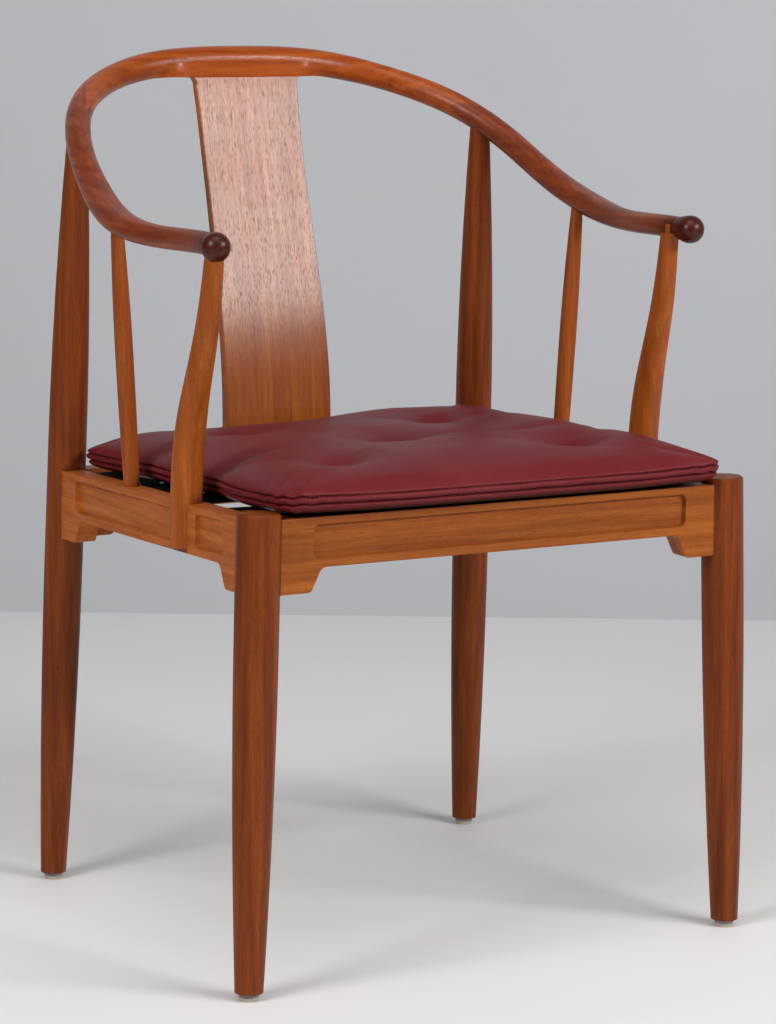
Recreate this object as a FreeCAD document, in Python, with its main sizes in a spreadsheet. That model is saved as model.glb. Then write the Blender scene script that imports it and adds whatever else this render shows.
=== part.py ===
"""Horseshoe back armchair in solid wood, with a loose leather cushion on a webbed seat.

Millimetres, +Z up, feet on z = 0. The front faces -Y and the chair is the same on both sides of x = 0.
Right-hand pieces (+X, as seen from the front) are built once and mirrored for the left.
"""

import FreeCAD
import Part

import math
import os
import re
from types import SimpleNamespace

import Sketcher

Vector = FreeCAD.Vector

SIZES = {
    # places: setbacks run back from the line of the front feet, heights run up from the floor
    "front_line": -255.5,
    "overrun": 2.0,
    "glue_gap": 0.1,
    "depth_gap": 0.6,
    # front legs
    "front_foot_half": 257.0,
    "front_top_half": 245.6,
    "front_top_setback": 7.5,
    "front_leg_height": 435.0,
    "front_leg_radius": 20.0,
    "front_foot_radius": 12.6,
    "leg_top_bevel": 2.0,
    "leg_straight_margin": 22.0,
    # rear legs
    "rear_foot_half": 239.6,
    "rear_foot_setback": 453.0,
    "rear_top_half": 225.7,
    "rear_top_setback": 419.8,
    "rear_leg_height": 750.0,
    "rear_leg_radius": 18.7,
    "rear_foot_radius": 12.3,
    "rear_neck_radius": 9.3,
    "leg_peg_radius": 6.5,
    "leg_peg_length": 30.0,
    "leg_peg_rise": 3.0,
    # glides under the legs
    "glide_radius": 9.0,
    "felt_height": 3.0,
    "glide_height": 4.0,
    "glide_nail_radius": 1.5,
    "glide_nail_length": 14.0,
    # seat frame
    "seat_height": 429.0,
    "seat_rake": 1.92,
    "rail_height": 45.0,
    "rail_thick": 22.0,
    "bracket_drop": 22.0,
    "bracket_foot": 24.0,
    "bracket_round_run": 5.0,
    "bracket_round_rise": 4.0,
    "bracket_round": 6.0,
    "bracket_ramp_run": 6.0,
    "bracket_ramp_rise": 12.5,
    "bracket_cove_run": 7.5,
    "bracket_cove": 8.8,
    "rail_edge": 0.8,
    "panel_end": 49.0,
    "panel_top": 6.4,
    "panel_bottom": 7.8,
    "panel_depth": 4.0,
    "panel_slope": 16.0,
    "panel_round": 6.0,
    "stile_width": 15.0,
    "rail_tenon_thick": 9.0,
    "rail_tenon_inset": 7.0,
    "rail_tenon_reach": 6.0,
    "rail_tenon_root": 26.0,
    # arm posts
    "post_setback": 144.0,
    "post_half": 247.5,
    "post_radius": 14.5,
    "post_top_radius": 8.8,
    "post_top_setback": 98.5,
    "post_top_half": 242.6,
    "post_top_height": 656.0,
    "post_foot_margin": 4.0,
    "post_foot_bevel": 2.0,
    "post_peg_radius": 5.5,
    "post_peg_length": 16.0,
    "post_peg_root": 6.0,
    "post_top_peg_radius": 5.0,
    "post_top_peg_length": 24.0,
    "post_top_peg_rise": 9.0,
    # spindles under the arms
    "spindle_setback": 277.0,
    "spindle_top_half": 253.0,
    "spindle_top_height": 667.0,
    "spindle_foot_radius": 7.5,
    "spindle_radius": 8.5,
    "spindle_belly_height": 120.0,
    "spindle_top_radius": 5.7,
    "spindle_peg_radius": 4.0,
    "spindle_peg_length": 14.0,
    "spindle_peg_root": 8.0,
    "spindle_peg_rise": 6.0,
    # horseshoe rail
    "bow_half": 259.5,
    "bow_depth": 460.2,
    "bow_rise": 145.3,
    "arm_height": 661.5,
    "arm_tip_setback": 65.6,
    "crest_half_width": 13.7,
    "crest_half_height": 13.5,
    "bend_half_width": 12.3,
    "bend_half_height": 12.4,
    "flat_half_width": 14.7,
    "flat_half_height": 11.6,
    "arm_radius": 10.3,
    "ball_radius": 13.2,
    "ball_length": 30.0,
    "belly_flat": 2.0,
    "splice_length": 46.0,
    "splice_finger": 9.0,
    # back splat
    "splat_thick": 10.0,
    "splat_foot_half": 59.4,
    "splat_waist_half": 55.8,
    "splat_top_half": 59.9,
    "splat_neck_half": 57.2,
    "splat_neck_drop": 10.0,
    "splat_neck_round": 11.0,
    "splat_top_drop": 17.2,
    "splat_foot_depth": 18.0,
    "splat_foot_setback": 428.3,
    "splat_top_setback": 503.0,
    "splat_edge": 1.0,
    "splat_tenon_half": 42.0,
    "splat_tenon_thick": 4.0,
    "splat_tenon_inset": 1.5,
    "splat_tenon_length": 5.0,
    # webbing
    "strap_width": 58.0,
    "strap_thick": 1.8,
    "strap_weave_gap": 0.3,
    "strap_ramp": 3.0,
    "strap_sink": 0.4,
    "strap_tail_margin": 3.0,
    "strap_pitch": 98.0,
    "tack_head_radius": 4.0,
    "tack_head_thick": 1.0,
    "tack_shank_radius": 0.9,
    "tack_shank_length": 9.0,
    "tack_spread": 12.0,
    # cushion
    "cushion_clear": 0.3,
    "cushion_front": 27.0,
    "cushion_back": 421.0,
    "cushion_front_half": 236.0,
    "cushion_back_half": 223.0,
    "cushion_lobe_half": 225.5,
    "cushion_notch_half": 218.5,
    "cushion_corner": 20.0,
    "cushion_bow": 3.0,
    "cushion_band_low": 9.5,
    "cushion_band_high": 20.0,
    "cushion_shoulder": 29.5,
    "cushion_crown": 41.0,
    "tuft_radius": 26.0,
    "tuft_depth": 6.0,
    "tuft_front_setback": 70.0,
    "tuft_front_half": 125.0,
    "tuft_middle_setback": 185.0,
    "tuft_back_setback": 298.0,
    "tuft_back_half": 117.0,
    "crease_radius": 9.0,
    "crease_depth": 1.5,
}

# Centre line of the horseshoe from the middle of the crest to an arm tip: share of the half width, of the
# depth in front of the crest's back, and of the rise from the arms to the crest.
BOW_LINE_SHARES = [
    (0.0, 1.0, 1.0),
    (0.266, 0.9957, 0.985),
    (0.443, 0.9805, 0.944),
    (0.624, 0.933, 0.858),
    (0.806, 0.8309, 0.7),
    (0.917, 0.7029, 0.474),
    (0.973, 0.555, 0.212),
    (1.0, 0.4083, 0.05),
    (0.9734, 0.2562, -0.001),
    (0.957, 0.1702, 0.0),
    (0.985, 0.0, -0.013),
]
# Where along half the horseshoe each form of its section holds; between two rows it changes smoothly.
BOW_FORM_SHARES = [
    (0.0, "crest"),
    (0.11, "crest"),
    (0.26, "bend"),
    (0.5, "bend"),
    (0.655, "flat"),
    (0.69, "flat"),
    (0.83, "arm"),
    (1.0, "arm"),
]
BOW_STATION_SHARES = [0.0, 0.045, 0.08, 0.093, 0.104, 0.118, 0.134, 0.152, 0.175, 0.205, 0.25, 0.3, 0.35, 0.4,
                      0.45, 0.5, 0.54, 0.58, 0.62, 0.655, 0.69, 0.725, 0.76, 0.8, 0.84, 0.88, 0.92, 0.96]
NECK_END_SHARES = (0.093, 0.175)
SPLICE_SHARE = 0.365
ROUND_HANDLE_SHARE = 0.5523
FLAT_HANDLE_SHARE = 0.74
# Bend of a post: share of its length above the rail against the shares of its lean and of its taper.
POST_SHARES = [
    (0.0, 0.0, 0.0),
    (0.1, 0.02, 0.0),
    (0.2, 0.07, 0.02),
    (0.34, 0.2, 0.12),
    (0.5, 0.43, 0.36),
    (0.66, 0.68, 0.57),
    (0.82, 0.86, 0.78),
    (1.0, 1.0, 1.0),
]
# Side view of the splat: share of its height against the share of its lean.
SPLAT_SHARES = [(0.0, 0.0), (0.1, 0.0), (0.21, 0.02), (0.31, 0.085), (0.42, 0.2), (0.57, 0.41),
                (0.72, 0.625), (0.83, 0.785), (0.925, 0.902), (1.0, 1.0)]
# Front view of the splat's edge: share of its height against the share of its drawing in towards the waist.
SPLAT_EDGE_SHARES = [(0.0, 0.0), (0.36, 0.22), (0.62, 0.75), (0.86, 1.0)]
# Side view of the cushion: the height of each level as a share of the step between two named heights, with
# how far its outline is drawn in there, as a share of the half width.
CUSHION_LEVEL_SHARES = [
    ("cushion_clear", "cushion_band_low", 0.0, 0.115),
    ("cushion_clear", "cushion_band_low", 0.4, 0.070),
    ("cushion_clear", "cushion_band_low", 0.75, 0.045),
    ("cushion_clear", "cushion_band_low", 1.0, 0.012),
    ("cushion_band_low", "cushion_band_high", 0.5, 0.0),
    ("cushion_band_low", "cushion_band_high", 1.0, 0.006),
    ("cushion_band_high", "cushion_shoulder", 0.5, 0.042),
    ("cushion_band_high", "cushion_shoulder", 1.0, 0.092),
    ("cushion_shoulder", "cushion_crown", 0.5, 0.185),
    ("cushion_shoulder", "cushion_crown", 0.8, 0.28),
    ("cushion_shoulder", "cushion_crown", 1.0, 0.40),
]

# How much of the lobes is left at the cushion's top and bottom edges, and where along a side the arcs between
# its corners and notches pass: share of the way across and of the way back.
LEAST_LOBE_SHARE = 0.15
FRONT_LOBE_SHARES = (0.35, 0.541)
BACK_LOBE_SHARES = (0.35, 0.497)
# Two points nearer than this are one point.
SAME_POINT = 1e-6

document = FreeCAD.newDocument("armchair")
sheet = document.addObject("Spreadsheet::Sheet", "Sizes")
for row, (alias, number) in enumerate(SIZES.items(), start=1):
    sheet.set(f"A{row}", alias)
    sheet.set(f"B{row}", str(number))
    sheet.setAlias(f"B{row}", alias)
document.recompute()
V = SimpleNamespace(**{alias: float(sheet.get(alias)) for alias in SIZES})


def bound(text):
    """Turns the words of a formula into cells of the sheet."""
    return re.sub(r"\b([a-z]\w*)\b", r"Sizes.\1", text)


def value(text):
    result = sheet.evalExpression(bound(text))
    return float(getattr(result, "Value", result))


def outline(body, name, role, corners, offset=None):
    """Adds a closed sketch of corners: (x, y), or (x, y, radius) where an arc runs to the next corner.

    A positive radius bulges to the right of the way from one corner to the next.
    """
    sketch = body.newObject("Sketcher::SketchObject", name)
    plane = next(feature for feature in body.Origin.OriginFeatures if feature.Role == role)
    sketch.AttachmentSupport = [(plane, "")]
    sketch.MapMode = "FlatFace"
    if offset:
        sketch.setExpression(".AttachmentOffset.Base.z", bound(offset))
    points = [Vector(value(corner[0]), value(corner[1]), 0) for corner in corners]
    ends = []
    for index, corner in enumerate(corners):
        start = points[index]
        end = points[(index + 1) % len(points)]
        if len(corner) == 2:
            edge = sketch.addGeometry(Part.LineSegment(start, end))
        else:
            radius = value(corner[2])
            half = (end - start) * 0.5
            right = Vector(half.y, -half.x, 0).normalize()
            rise = abs(radius) - math.sqrt(radius ** 2 - half.Length ** 2)
            middle = start + half + right * math.copysign(rise, radius)
            edge = sketch.addGeometry(Part.Arc(start, middle, end))
            sketch.addConstraint(Sketcher.Constraint("Radius", edge, abs(radius)))
            sketch.setExpression(f"Constraints[{sketch.ConstraintCount - 1}]", f"abs({bound(corner[2])})")
        first = 1 if sketch.getPoint(edge, 1).isEqual(start, SAME_POINT) else 2
        ends.append((edge, first, 3 - first))
    for index, corner in enumerate(corners):
        edge, first, last = ends[index]
        following = ends[(index + 1) % len(ends)]
        sketch.addConstraint(Sketcher.Constraint("Coincident", edge, last, following[0], following[1]))
        for kind, axis, text, number in (
            ("DistanceX", -2, corner[0], points[index].x),
            ("DistanceY", -1, corner[1], points[index].y),
        ):
            if text == "0":
                sketch.addConstraint(Sketcher.Constraint("PointOnObject", edge, first, axis))
                continue
            sketch.addConstraint(Sketcher.Constraint(kind, -1, 1, edge, first, number))
            sketch.setExpression(f"Constraints[{sketch.ConstraintCount - 1}]", bound(text))
    return sketch


def new_body(name):
    return document.addObject("PartDesign::Body", name)


def turned(name, corners):
    """A lathe-turned piece: the outline's x is the radius and its y the height."""
    body = new_body(name)
    sketch = outline(body, f"{name}_outline", "XZ_Plane", corners)
    spin = body.newObject("PartDesign::Revolution", f"{name}_turning")
    spin.Profile = sketch
    spin.ReferenceAxis = (sketch, ["V_Axis"])
    return body


def feature(name, shape, placement=None):
    piece = document.addObject("Part::Feature", name)
    piece.Shape = shape
    if placement:
        piece.Placement = placement
    return piece


def joined(name, pieces):
    piece = document.addObject("Part::MultiFuse", name)
    piece.Shapes = pieces
    return piece


def cut(name, base, tool):
    piece = document.addObject("Part::Cut", name)
    piece.Base = base
    piece.Tool = tool
    return piece


def mirrored(name, source):
    piece = document.addObject("Part::Mirroring", name)
    piece.Source = source
    piece.Normal = Vector(1, 0, 0)
    return piece


def block(name, length, width, height, frame, corner):
    """A box whose sizes are formulas, with its low corner at a place in another frame."""
    piece = document.addObject("Part::Box", name)
    piece.setExpression("Length", bound(length))
    piece.setExpression("Width", bound(width))
    piece.setExpression("Height", bound(height))
    piece.Placement = frame.multiply(FreeCAD.Placement(corner, FreeCAD.Rotation()))
    return piece


def peg(name, radius, length, start, direction):
    piece = document.addObject("Part::Cylinder", name)
    piece.setExpression("Radius", bound(radius))
    piece.setExpression("Height", bound(length))
    piece.Placement = FreeCAD.Placement(start, FreeCAD.Rotation(Vector(0, 0, 1), direction))
    return piece


def place(half, setback, height):
    return Vector(half, V.front_line + setback, height)


def along(foot, top, height):
    """The point at a height on the straight line from foot to top."""
    return foot + (top - foot) * ((height - foot.z) / (top.z - foot.z))


def smooth(share):
    share = min(max(share, 0.0), 1.0)
    return share * share * (3 - 2 * share)


def blend(start, end, share):
    return start + (end - start) * share


# Turned pieces have their seam line this far round from +X, clear of the rails that meet them.
SEAM_DEGREES = 50
FRONT_FOOT = place(V.front_foot_half, 0, 0)
FRONT_TOP = place(V.front_top_half, V.front_top_setback, V.front_leg_height)
REAR_FOOT = place(V.rear_foot_half, V.rear_foot_setback, 0)
REAR_TOP = place(V.rear_top_half, V.rear_top_setback, V.rear_leg_height)
# Where the middle of the seat rails meets the legs' own lines; the seat falls towards the back
RAIL_MIDDLE = V.seat_height - V.rail_height / 2
FRONT_AXIS = along(FRONT_FOOT, FRONT_TOP, RAIL_MIDDLE)
rear_guess = along(REAR_FOOT, REAR_TOP, RAIL_MIDDLE)
SEAT_FALL = math.tan(math.radians(V.seat_rake)) * (rear_guess.y - FRONT_AXIS.y)
REAR_AXIS = along(REAR_FOOT, REAR_TOP, RAIL_MIDDLE - SEAT_FALL)


# The splat meets the crest this far up, under the highest point of the horseshoe's line
SPLAT_TOP_HEIGHT = V.arm_height + V.bow_rise - V.splat_top_drop
WORKED_OUT = []


def add_cell(alias, number):
    """Adds a worked-out length to the sheet, so that formulas can use it."""
    row = len(SIZES) + len(WORKED_OUT) + 1
    WORKED_OUT.append(alias)
    sheet.set(f"A{row}", alias)
    sheet.set(f"B{row}", str(number))
    sheet.setAlias(f"B{row}", alias)
    document.recompute()


add_cell("rear_rail_top", REAR_AXIS.z + V.rail_height / 2)


# Horseshoe rail: one smooth form, later parted at the finger splices
def bow_curve():
    right = [
        place(V.bow_half * x, V.arm_tip_setback + V.bow_depth * y, V.arm_height + V.bow_rise * z)
        for x, y, z in BOW_LINE_SHARES
    ]
    left = [Vector(-point.x, point.y, point.z) for point in reversed(right[1:])]
    curve = Part.BSplineCurve()
    curve.interpolate(left + right)
    return curve.toShape()


BOW = bow_curve()
BOW_HALF_LENGTH = BOW.Length / 2


def bow_station(share):
    """Centre, tangent, outward and upward directions at a share of half the horseshoe, from -1 to 1."""
    parameter = BOW.getParameterByLength(BOW_HALF_LENGTH * (1 + share))
    centre = BOW.valueAt(parameter)
    tangent = BOW.tangentAt(parameter).normalize()
    outward = Vector(0, 0, 1).cross(tangent).normalize()
    return centre, tangent, outward, tangent.cross(outward).normalize()


def bow_form(share):
    forms = {
        "crest": (V.crest_half_width, V.crest_half_height, ROUND_HANDLE_SHARE),
        "bend": (V.bend_half_width, V.bend_half_height, ROUND_HANDLE_SHARE),
        "flat": (V.flat_half_width, V.flat_half_height, FLAT_HANDLE_SHARE),
        "arm": (V.arm_radius, V.arm_radius, ROUND_HANDLE_SHARE),
    }
    for (low, first), (high, second) in zip(BOW_FORM_SHARES, BOW_FORM_SHARES[1:]):
        if share <= high:
            step = smooth((share - low) / (high - low))
            return tuple(blend(a, b, step) for a, b in zip(forms[first], forms[second]))
    return forms["arm"]


def joint_corner(centre, outward, upward, setback):
    """The crest's lower corner over the splat, in the section's own two directions."""
    wanted_y = V.front_line + setback - centre.y
    wanted_z = SPLAT_TOP_HEIGHT - centre.z
    scale = outward.y * upward.z - outward.z * upward.y
    across_share = (wanted_y * upward.z - wanted_z * upward.y) / scale
    up_share = (outward.y * wanted_z - outward.z * wanted_y) / scale
    return across_share, up_share


def curved_edge(start, lead, follow, end, frame):
    centre, outward, upward = frame
    poles = [centre + outward * a + upward * b for a, b in (start, lead, follow, end)]
    edge = Part.BezierCurve()
    edge.setPoles(poles)
    return edge.toShape()


def bow_section(share, scale=1.0):
    """A closed section of five edges: top outside, belly outside, belly flat, belly inside, top inside."""
    centre, _, outward, upward = bow_station(share)
    frame = (centre, outward, upward)
    width, height, top_handle = bow_form(abs(share))
    width *= scale
    height *= scale
    flat = V.belly_flat / 2 * scale
    neck = 1 - smooth((abs(share) - NECK_END_SHARES[0]) / (NECK_END_SHARES[1] - NECK_END_SHARES[0]))
    round_handle = ROUND_HANDLE_SHARE
    inner = (-flat, -height)
    outer = (flat, -height)
    if neck > 0:
        front = joint_corner(centre, outward, upward, V.splat_top_setback)
        back = joint_corner(centre, outward, upward, V.splat_top_setback + V.splat_thick)
        inner = tuple(blend(a, b, neck) for a, b in zip(inner, front))
        outer = tuple(blend(a, b, neck) for a, b in zip(outer, back))
    # the inner lower edge swings from a quarter round to the straight face that runs on into the splat
    round_lead = (-width, -height * round_handle)
    round_follow = (-flat - (width - flat) * round_handle, -height)
    straight_lead = (blend(-width, inner[0], 1 / 3), blend(0, inner[1], 1 / 3))
    straight_follow = (blend(-width, inner[0], 2 / 3), blend(0, inner[1], 2 / 3))
    lead = tuple(blend(a, b, neck) for a, b in zip(round_lead, straight_lead))
    follow = tuple(blend(a, b, neck) for a, b in zip(round_follow, straight_follow))
    belly = (outer[0] + (width - outer[0]) * round_handle, outer[1])
    crown = (0, height)
    side = height * round_handle
    belly_ends = [centre + outward * a + upward * b for a, b in (outer, inner)]
    edges = [
        curved_edge(crown, (width * top_handle, height), (width, side), (width, 0), frame),
        curved_edge((width, 0), (width, outer[1] * round_handle), belly, outer, frame),
        Part.makeLine(*belly_ends),
        curved_edge(inner, follow, lead, (-width, 0), frame),
        curved_edge((-width, 0), (-width, side), (-width * top_handle, height), crown, frame),
    ]
    return Part.Wire(edges)


def ball_scale(distance):
    """How far the section swells or closes at a distance from the end of an arm."""
    if distance < V.ball_radius:
        radius = math.sqrt(V.ball_radius ** 2 - (V.ball_radius - distance) ** 2)
    else:
        share = (distance - V.ball_radius) / (V.ball_length - V.ball_radius)
        radius = blend(V.ball_radius, V.arm_radius, smooth(share))
    return radius / V.arm_radius


# Places of the ball end's sections, and the least distance to the section before it, as shares of lengths.
BALL_STEP_SHARES = [1.0, 0.85, 0.7, 0.55, 0.42, 0.32, 0.22, 0.14, 0.08, 0.035, 0.01]
LEAST_STEP_SHARE = 0.01
ball_start_share = 1 - V.ball_length / BOW_HALF_LENGTH
half_stations = [share for share in BOW_STATION_SHARES if share < ball_start_share - LEAST_STEP_SHARE]
half_stations.append(ball_start_share)
stations = [-share for share in reversed(half_stations[1:])] + half_stations
bow_body = Part.makeLoft([bow_section(share) for share in stations], True, False)


def ball_end(side):
    sections = []
    for step in BALL_STEP_SHARES:
        distance = V.ball_length * step
        sections.append(bow_section(side * (1 - distance / BOW_HALF_LENGTH), ball_scale(distance)))
    return Part.makeLoft(sections, True, False)


bow = feature("bow_blank", bow_body.fuse([ball_end(1), ball_end(-1)]))


def splice_prism():
    """Everything on the arm's side of the finger splice: a zigzag in plan, carried straight up and down."""
    centre, tangent, outward, _ = bow_station(SPLICE_SHARE)
    ahead = Vector(tangent.x, tangent.y, 0).normalize()
    half = V.splice_length / 2
    side = V.splice_finger
    reach = V.bow_depth
    zigzag = [(-half, -2 * side), (half, -side), (-half, 0), (half, side), (-half, 2 * side)]
    zigzag = [(reach, -2 * side - reach), (-half, -2 * side - reach)] + zigzag
    zigzag += [(-half, 2 * side + reach), (reach, 2 * side + reach)]
    base = Vector(centre.x, centre.y, 0)
    points = [base + ahead * a + outward * b for a, b in zigzag]
    points = [Vector(max(point.x, 0), point.y, V.seat_height) for point in points]
    face = Part.Face(Part.makePolygon(points + points[:1]))
    return face.extrude(Vector(0, 0, reach))


splice = feature("splice_right", splice_prism())
splice_left = mirrored("splice_left", splice)

# Legs: turned with a swell, and straight where the rails meet them. The rear ones are scribed to the
# horseshoe from below and pegged into it.
FRONT_SWELL = "seat_height - rail_height - bracket_drop - leg_straight_margin"
REAR_SWELL = "rear_rail_top - rail_height - bracket_drop - leg_straight_margin"


def swell(length, wide, narrow):
    """The radius of an arc that swells from narrow to wide over a length and is upright where it is wide."""
    return f"(({length})^2 + ({wide} - {narrow})^2) / 2 / ({wide} - {narrow})"


front_leg_turning = turned("front_leg_turning", [
    ("0", "0"),
    ("front_foot_radius", "0", swell(FRONT_SWELL, "front_leg_radius", "front_foot_radius")),
    ("front_leg_radius", FRONT_SWELL),
    ("front_leg_radius", "front_leg_height - leg_top_bevel"),
    ("front_leg_radius - leg_top_bevel", "front_leg_height"),
    ("0", "front_leg_height"),
])
rear_leg_turning = turned("rear_leg_turning", [
    ("0", "0"),
    ("rear_foot_radius", "0", swell(REAR_SWELL, "rear_leg_radius", "rear_foot_radius")),
    ("rear_leg_radius", REAR_SWELL),
    ("rear_leg_radius", "rear_rail_top + leg_straight_margin",
     swell("rear_leg_height - rear_rail_top - leg_straight_margin", "rear_leg_radius", "rear_neck_radius")),
    ("rear_neck_radius", "rear_leg_height"),
    ("0", "rear_leg_height"),
])


def leaning(foot, top):
    """Turns an upright piece about its foot until it points at its top, its seam line clear of the rails."""
    lean = FreeCAD.Placement(foot, FreeCAD.Rotation(Vector(0, 0, 1), top - foot))
    return lean.multiply(FreeCAD.Placement(Vector(0, 0, 0), FreeCAD.Rotation(Vector(0, 0, 1), SEAM_DEGREES)))


front_leg_turning.Placement = leaning(FRONT_FOOT, FRONT_TOP)
rear_leg_turning.Placement = leaning(REAR_FOOT, REAR_TOP)
sole_height = V.felt_height + V.glide_height


def floor_block(name, foot):
    """The space under a leg, which trims its end level above the glide."""
    corner = Vector(foot.x - V.front_leg_radius, foot.y - V.front_leg_radius, -V.overrun)
    return block(name, "2 * front_leg_radius", "2 * front_leg_radius", "felt_height + glide_height + overrun",
                 FreeCAD.Placement(), corner)


def at_sole(foot, top):
    return along(foot, top, sole_height)


# Seat frame: each rail runs between two leg axes; its own X runs along it, its Y to the seat, its Z up


def framed(start, end):
    """A frame at start whose X points at end, Z is as upright as it can be and Y is level."""
    run = (end - start).normalize()
    level = Vector(0, 0, 1).cross(run).normalize()
    return FreeCAD.Placement(start, FreeCAD.Rotation(run, level, run.cross(level), "XYZ"))


rail_lift = Vector(0, 0, V.rail_height / 2)


def across(point):
    return Vector(-point.x, point.y, point.z)


# each rail has its outer face on its own -Y side
RAILS = {
    "front": (across(FRONT_AXIS) + rail_lift, FRONT_AXIS + rail_lift, "front_leg_radius", "front_leg_radius"),
    "rear": (REAR_AXIS + rail_lift, across(REAR_AXIS) + rail_lift, "rear_leg_radius", "rear_leg_radius"),
    "right": (FRONT_AXIS + rail_lift, REAR_AXIS + rail_lift, "front_leg_radius", "rear_leg_radius"),
}
RAIL_FRAMES = {name: framed(start, end) for name, (start, end, _, _) in RAILS.items()}


for rail_name, (start, end, _, _) in RAILS.items():
    add_cell(f"{rail_name}_rail_run", (end - start).Length)


def on_side_rail(setback):
    """Where the middle of the right rail's top lies at a setback, and how far along the rail that is."""
    start, end = RAILS["right"][:2]
    share = (V.front_line + setback - start.y) / (end.y - start.y)
    return start + (end - start) * share, (end - start).Length * share


POST_SEAT, post_run = on_side_rail(V.post_setback)
SPINDLE_SEAT, spindle_run = on_side_rail(V.spindle_setback)
add_cell("post_run", post_run)


def rail_corners(run, first_leg, last_leg):
    low = "-rail_height - bracket_drop"
    last = f"{run} - {last_leg} - bracket_foot"
    first = f"{first_leg} + bracket_foot"
    ramp = "bracket_round_run + bracket_ramp_run"
    ramp_top = f"{low} + bracket_round_rise + bracket_ramp_rise"
    return [
        ("0", "0"),
        (run, "0"),
        (run, low),
        (last, low, "-bracket_round"),
        (f"{last} - bracket_round_run", f"{low} + bracket_round_rise"),
        (f"{last} - {ramp.replace('+', '-')}", ramp_top, "bracket_cove"),
        (f"{last} - {ramp.replace('+', '-')} - bracket_cove_run", "-rail_height"),
        (f"{first} + {ramp} + bracket_cove_run", "-rail_height", "bracket_cove"),
        (f"{first} + {ramp}", ramp_top),
        (f"{first} + bracket_round_run", f"{low} + bracket_round_rise", "-bracket_round"),
        (first, low),
        ("0", low),
    ]


def panel_corners(start, end):
    """A recessed panel with rounded corners, from start to end along a rail."""
    top = "-panel_top"
    low = "panel_bottom - rail_height"
    return [
        (f"{start} + panel_round", top),
        (f"{end} - panel_round", top, "-panel_round"),
        (end, f"{top} - panel_round"),
        (end, f"{low} + panel_round", "-panel_round"),
        (f"{end} - panel_round", low),
        (f"{start} + panel_round", low, "-panel_round"),
        (start, f"{low} + panel_round"),
        (start, f"{top} - panel_round", "-panel_round"),
    ]


def seat_rail_body(name, panels):
    """A rail from one leg axis to the next, before it is scribed to the round legs."""
    _, _, first_leg, last_leg = RAILS[name]
    body = new_body(f"{name}_rail_board")
    corners = rail_corners(f"{name}_rail_run", first_leg, last_leg)
    board = outline(body, f"{name}_rail_outline", "XZ_Plane", corners)
    pad = body.newObject("PartDesign::Pad", f"{name}_rail_pad")
    pad.Profile = board
    pad.Midplane = True
    pad.setExpression("Length", bound("rail_thick"))
    document.recompute()
    half = V.rail_thick / 2
    long_edges = [
        f"Edge{number}"
        for number, edge in enumerate(pad.Shape.Edges, start=1)
        if edge.BoundBox.YLength < V.glue_gap and edge.BoundBox.ZLength + edge.BoundBox.XLength > 0
        and abs(abs(edge.BoundBox.YMin) - half) < V.glue_gap
        and not (edge.BoundBox.XLength < V.glue_gap and edge.BoundBox.ZLength > V.rail_height)
    ]
    rounding = body.newObject("PartDesign::Fillet", f"{name}_rail_rounding")
    rounding.Base = (pad, long_edges)
    rounding.setExpression("Radius", bound("rail_edge"))
    for number, (start, end) in enumerate(panels, start=1):
        corners = panel_corners(start, end)
        face = outline(body, f"{name}_panel_{number}", "XZ_Plane", corners, "rail_thick / 2")
        recess = body.newObject("PartDesign::Pocket", f"{name}_recess_{number}")
        recess.Profile = face
        recess.setExpression("Length", bound("panel_depth"))
        recess.TaperAngle = -V.panel_slope
    document.recompute()
    body.Placement = RAIL_FRAMES[name]
    return body


RAIL_BOARDS = {
    "front": seat_rail_body("front", [("panel_end", "front_rail_run - panel_end")]),
    "rear": seat_rail_body("rear", [("panel_end", "rear_rail_run - panel_end")]),
    "right": seat_rail_body("right", [
        ("panel_end", "post_run - post_radius - stile_width"),
        ("post_run", "right_rail_run - panel_end"),
    ]),
}


def tenon(name, rail, at_start, growth):
    """A rail's tenon, or its mortise when it grows by a gap all round."""
    run = f"{rail}_rail_run"
    length = "rail_tenon_root - rail_tenon_reach"
    low = V.rail_tenon_inset - V.rail_height
    shift = getattr(V, growth) if growth else 0
    deep = V.depth_gap if growth else 0
    if at_start:
        x = V.rail_tenon_reach - deep
    else:
        x = float(sheet.get(run)) - V.rail_tenon_root
    extra = f" + 2 * {growth}" if growth else ""
    more = " + depth_gap" if growth else ""
    corner = Vector(x, -V.rail_tenon_thick / 2 - shift, low - shift)
    return block(name, length + more, "rail_tenon_thick" + extra,
                 "rail_height - 2 * rail_tenon_inset" + extra, RAIL_FRAMES[rail], corner)


# Arm post: round and bent, lapped over the outside of the side rail, pegged into the rail and the arm
def post_axis(share):
    """Centre and radius of the post at a share of its length above the rail."""
    rows = POST_SHARES
    lean, taper = rows[-1][1:]
    for (low, lean_a, taper_a), (high, lean_b, taper_b) in zip(rows, rows[1:]):
        if share <= high:
            step = (share - low) / (high - low)
            lean = blend(lean_a, lean_b, step)
            taper = blend(taper_a, taper_b, step)
            break
    height = blend(POST_SEAT.z, V.post_top_height, share)
    half = blend(V.post_half, V.post_top_half, lean)
    setback = blend(V.post_setback, V.post_top_setback, lean)
    return place(half, setback, height), blend(V.post_radius, V.post_top_radius, taper)


def ring(centre, radius):
    return Part.Wire(Part.makeCircle(radius, centre))


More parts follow.
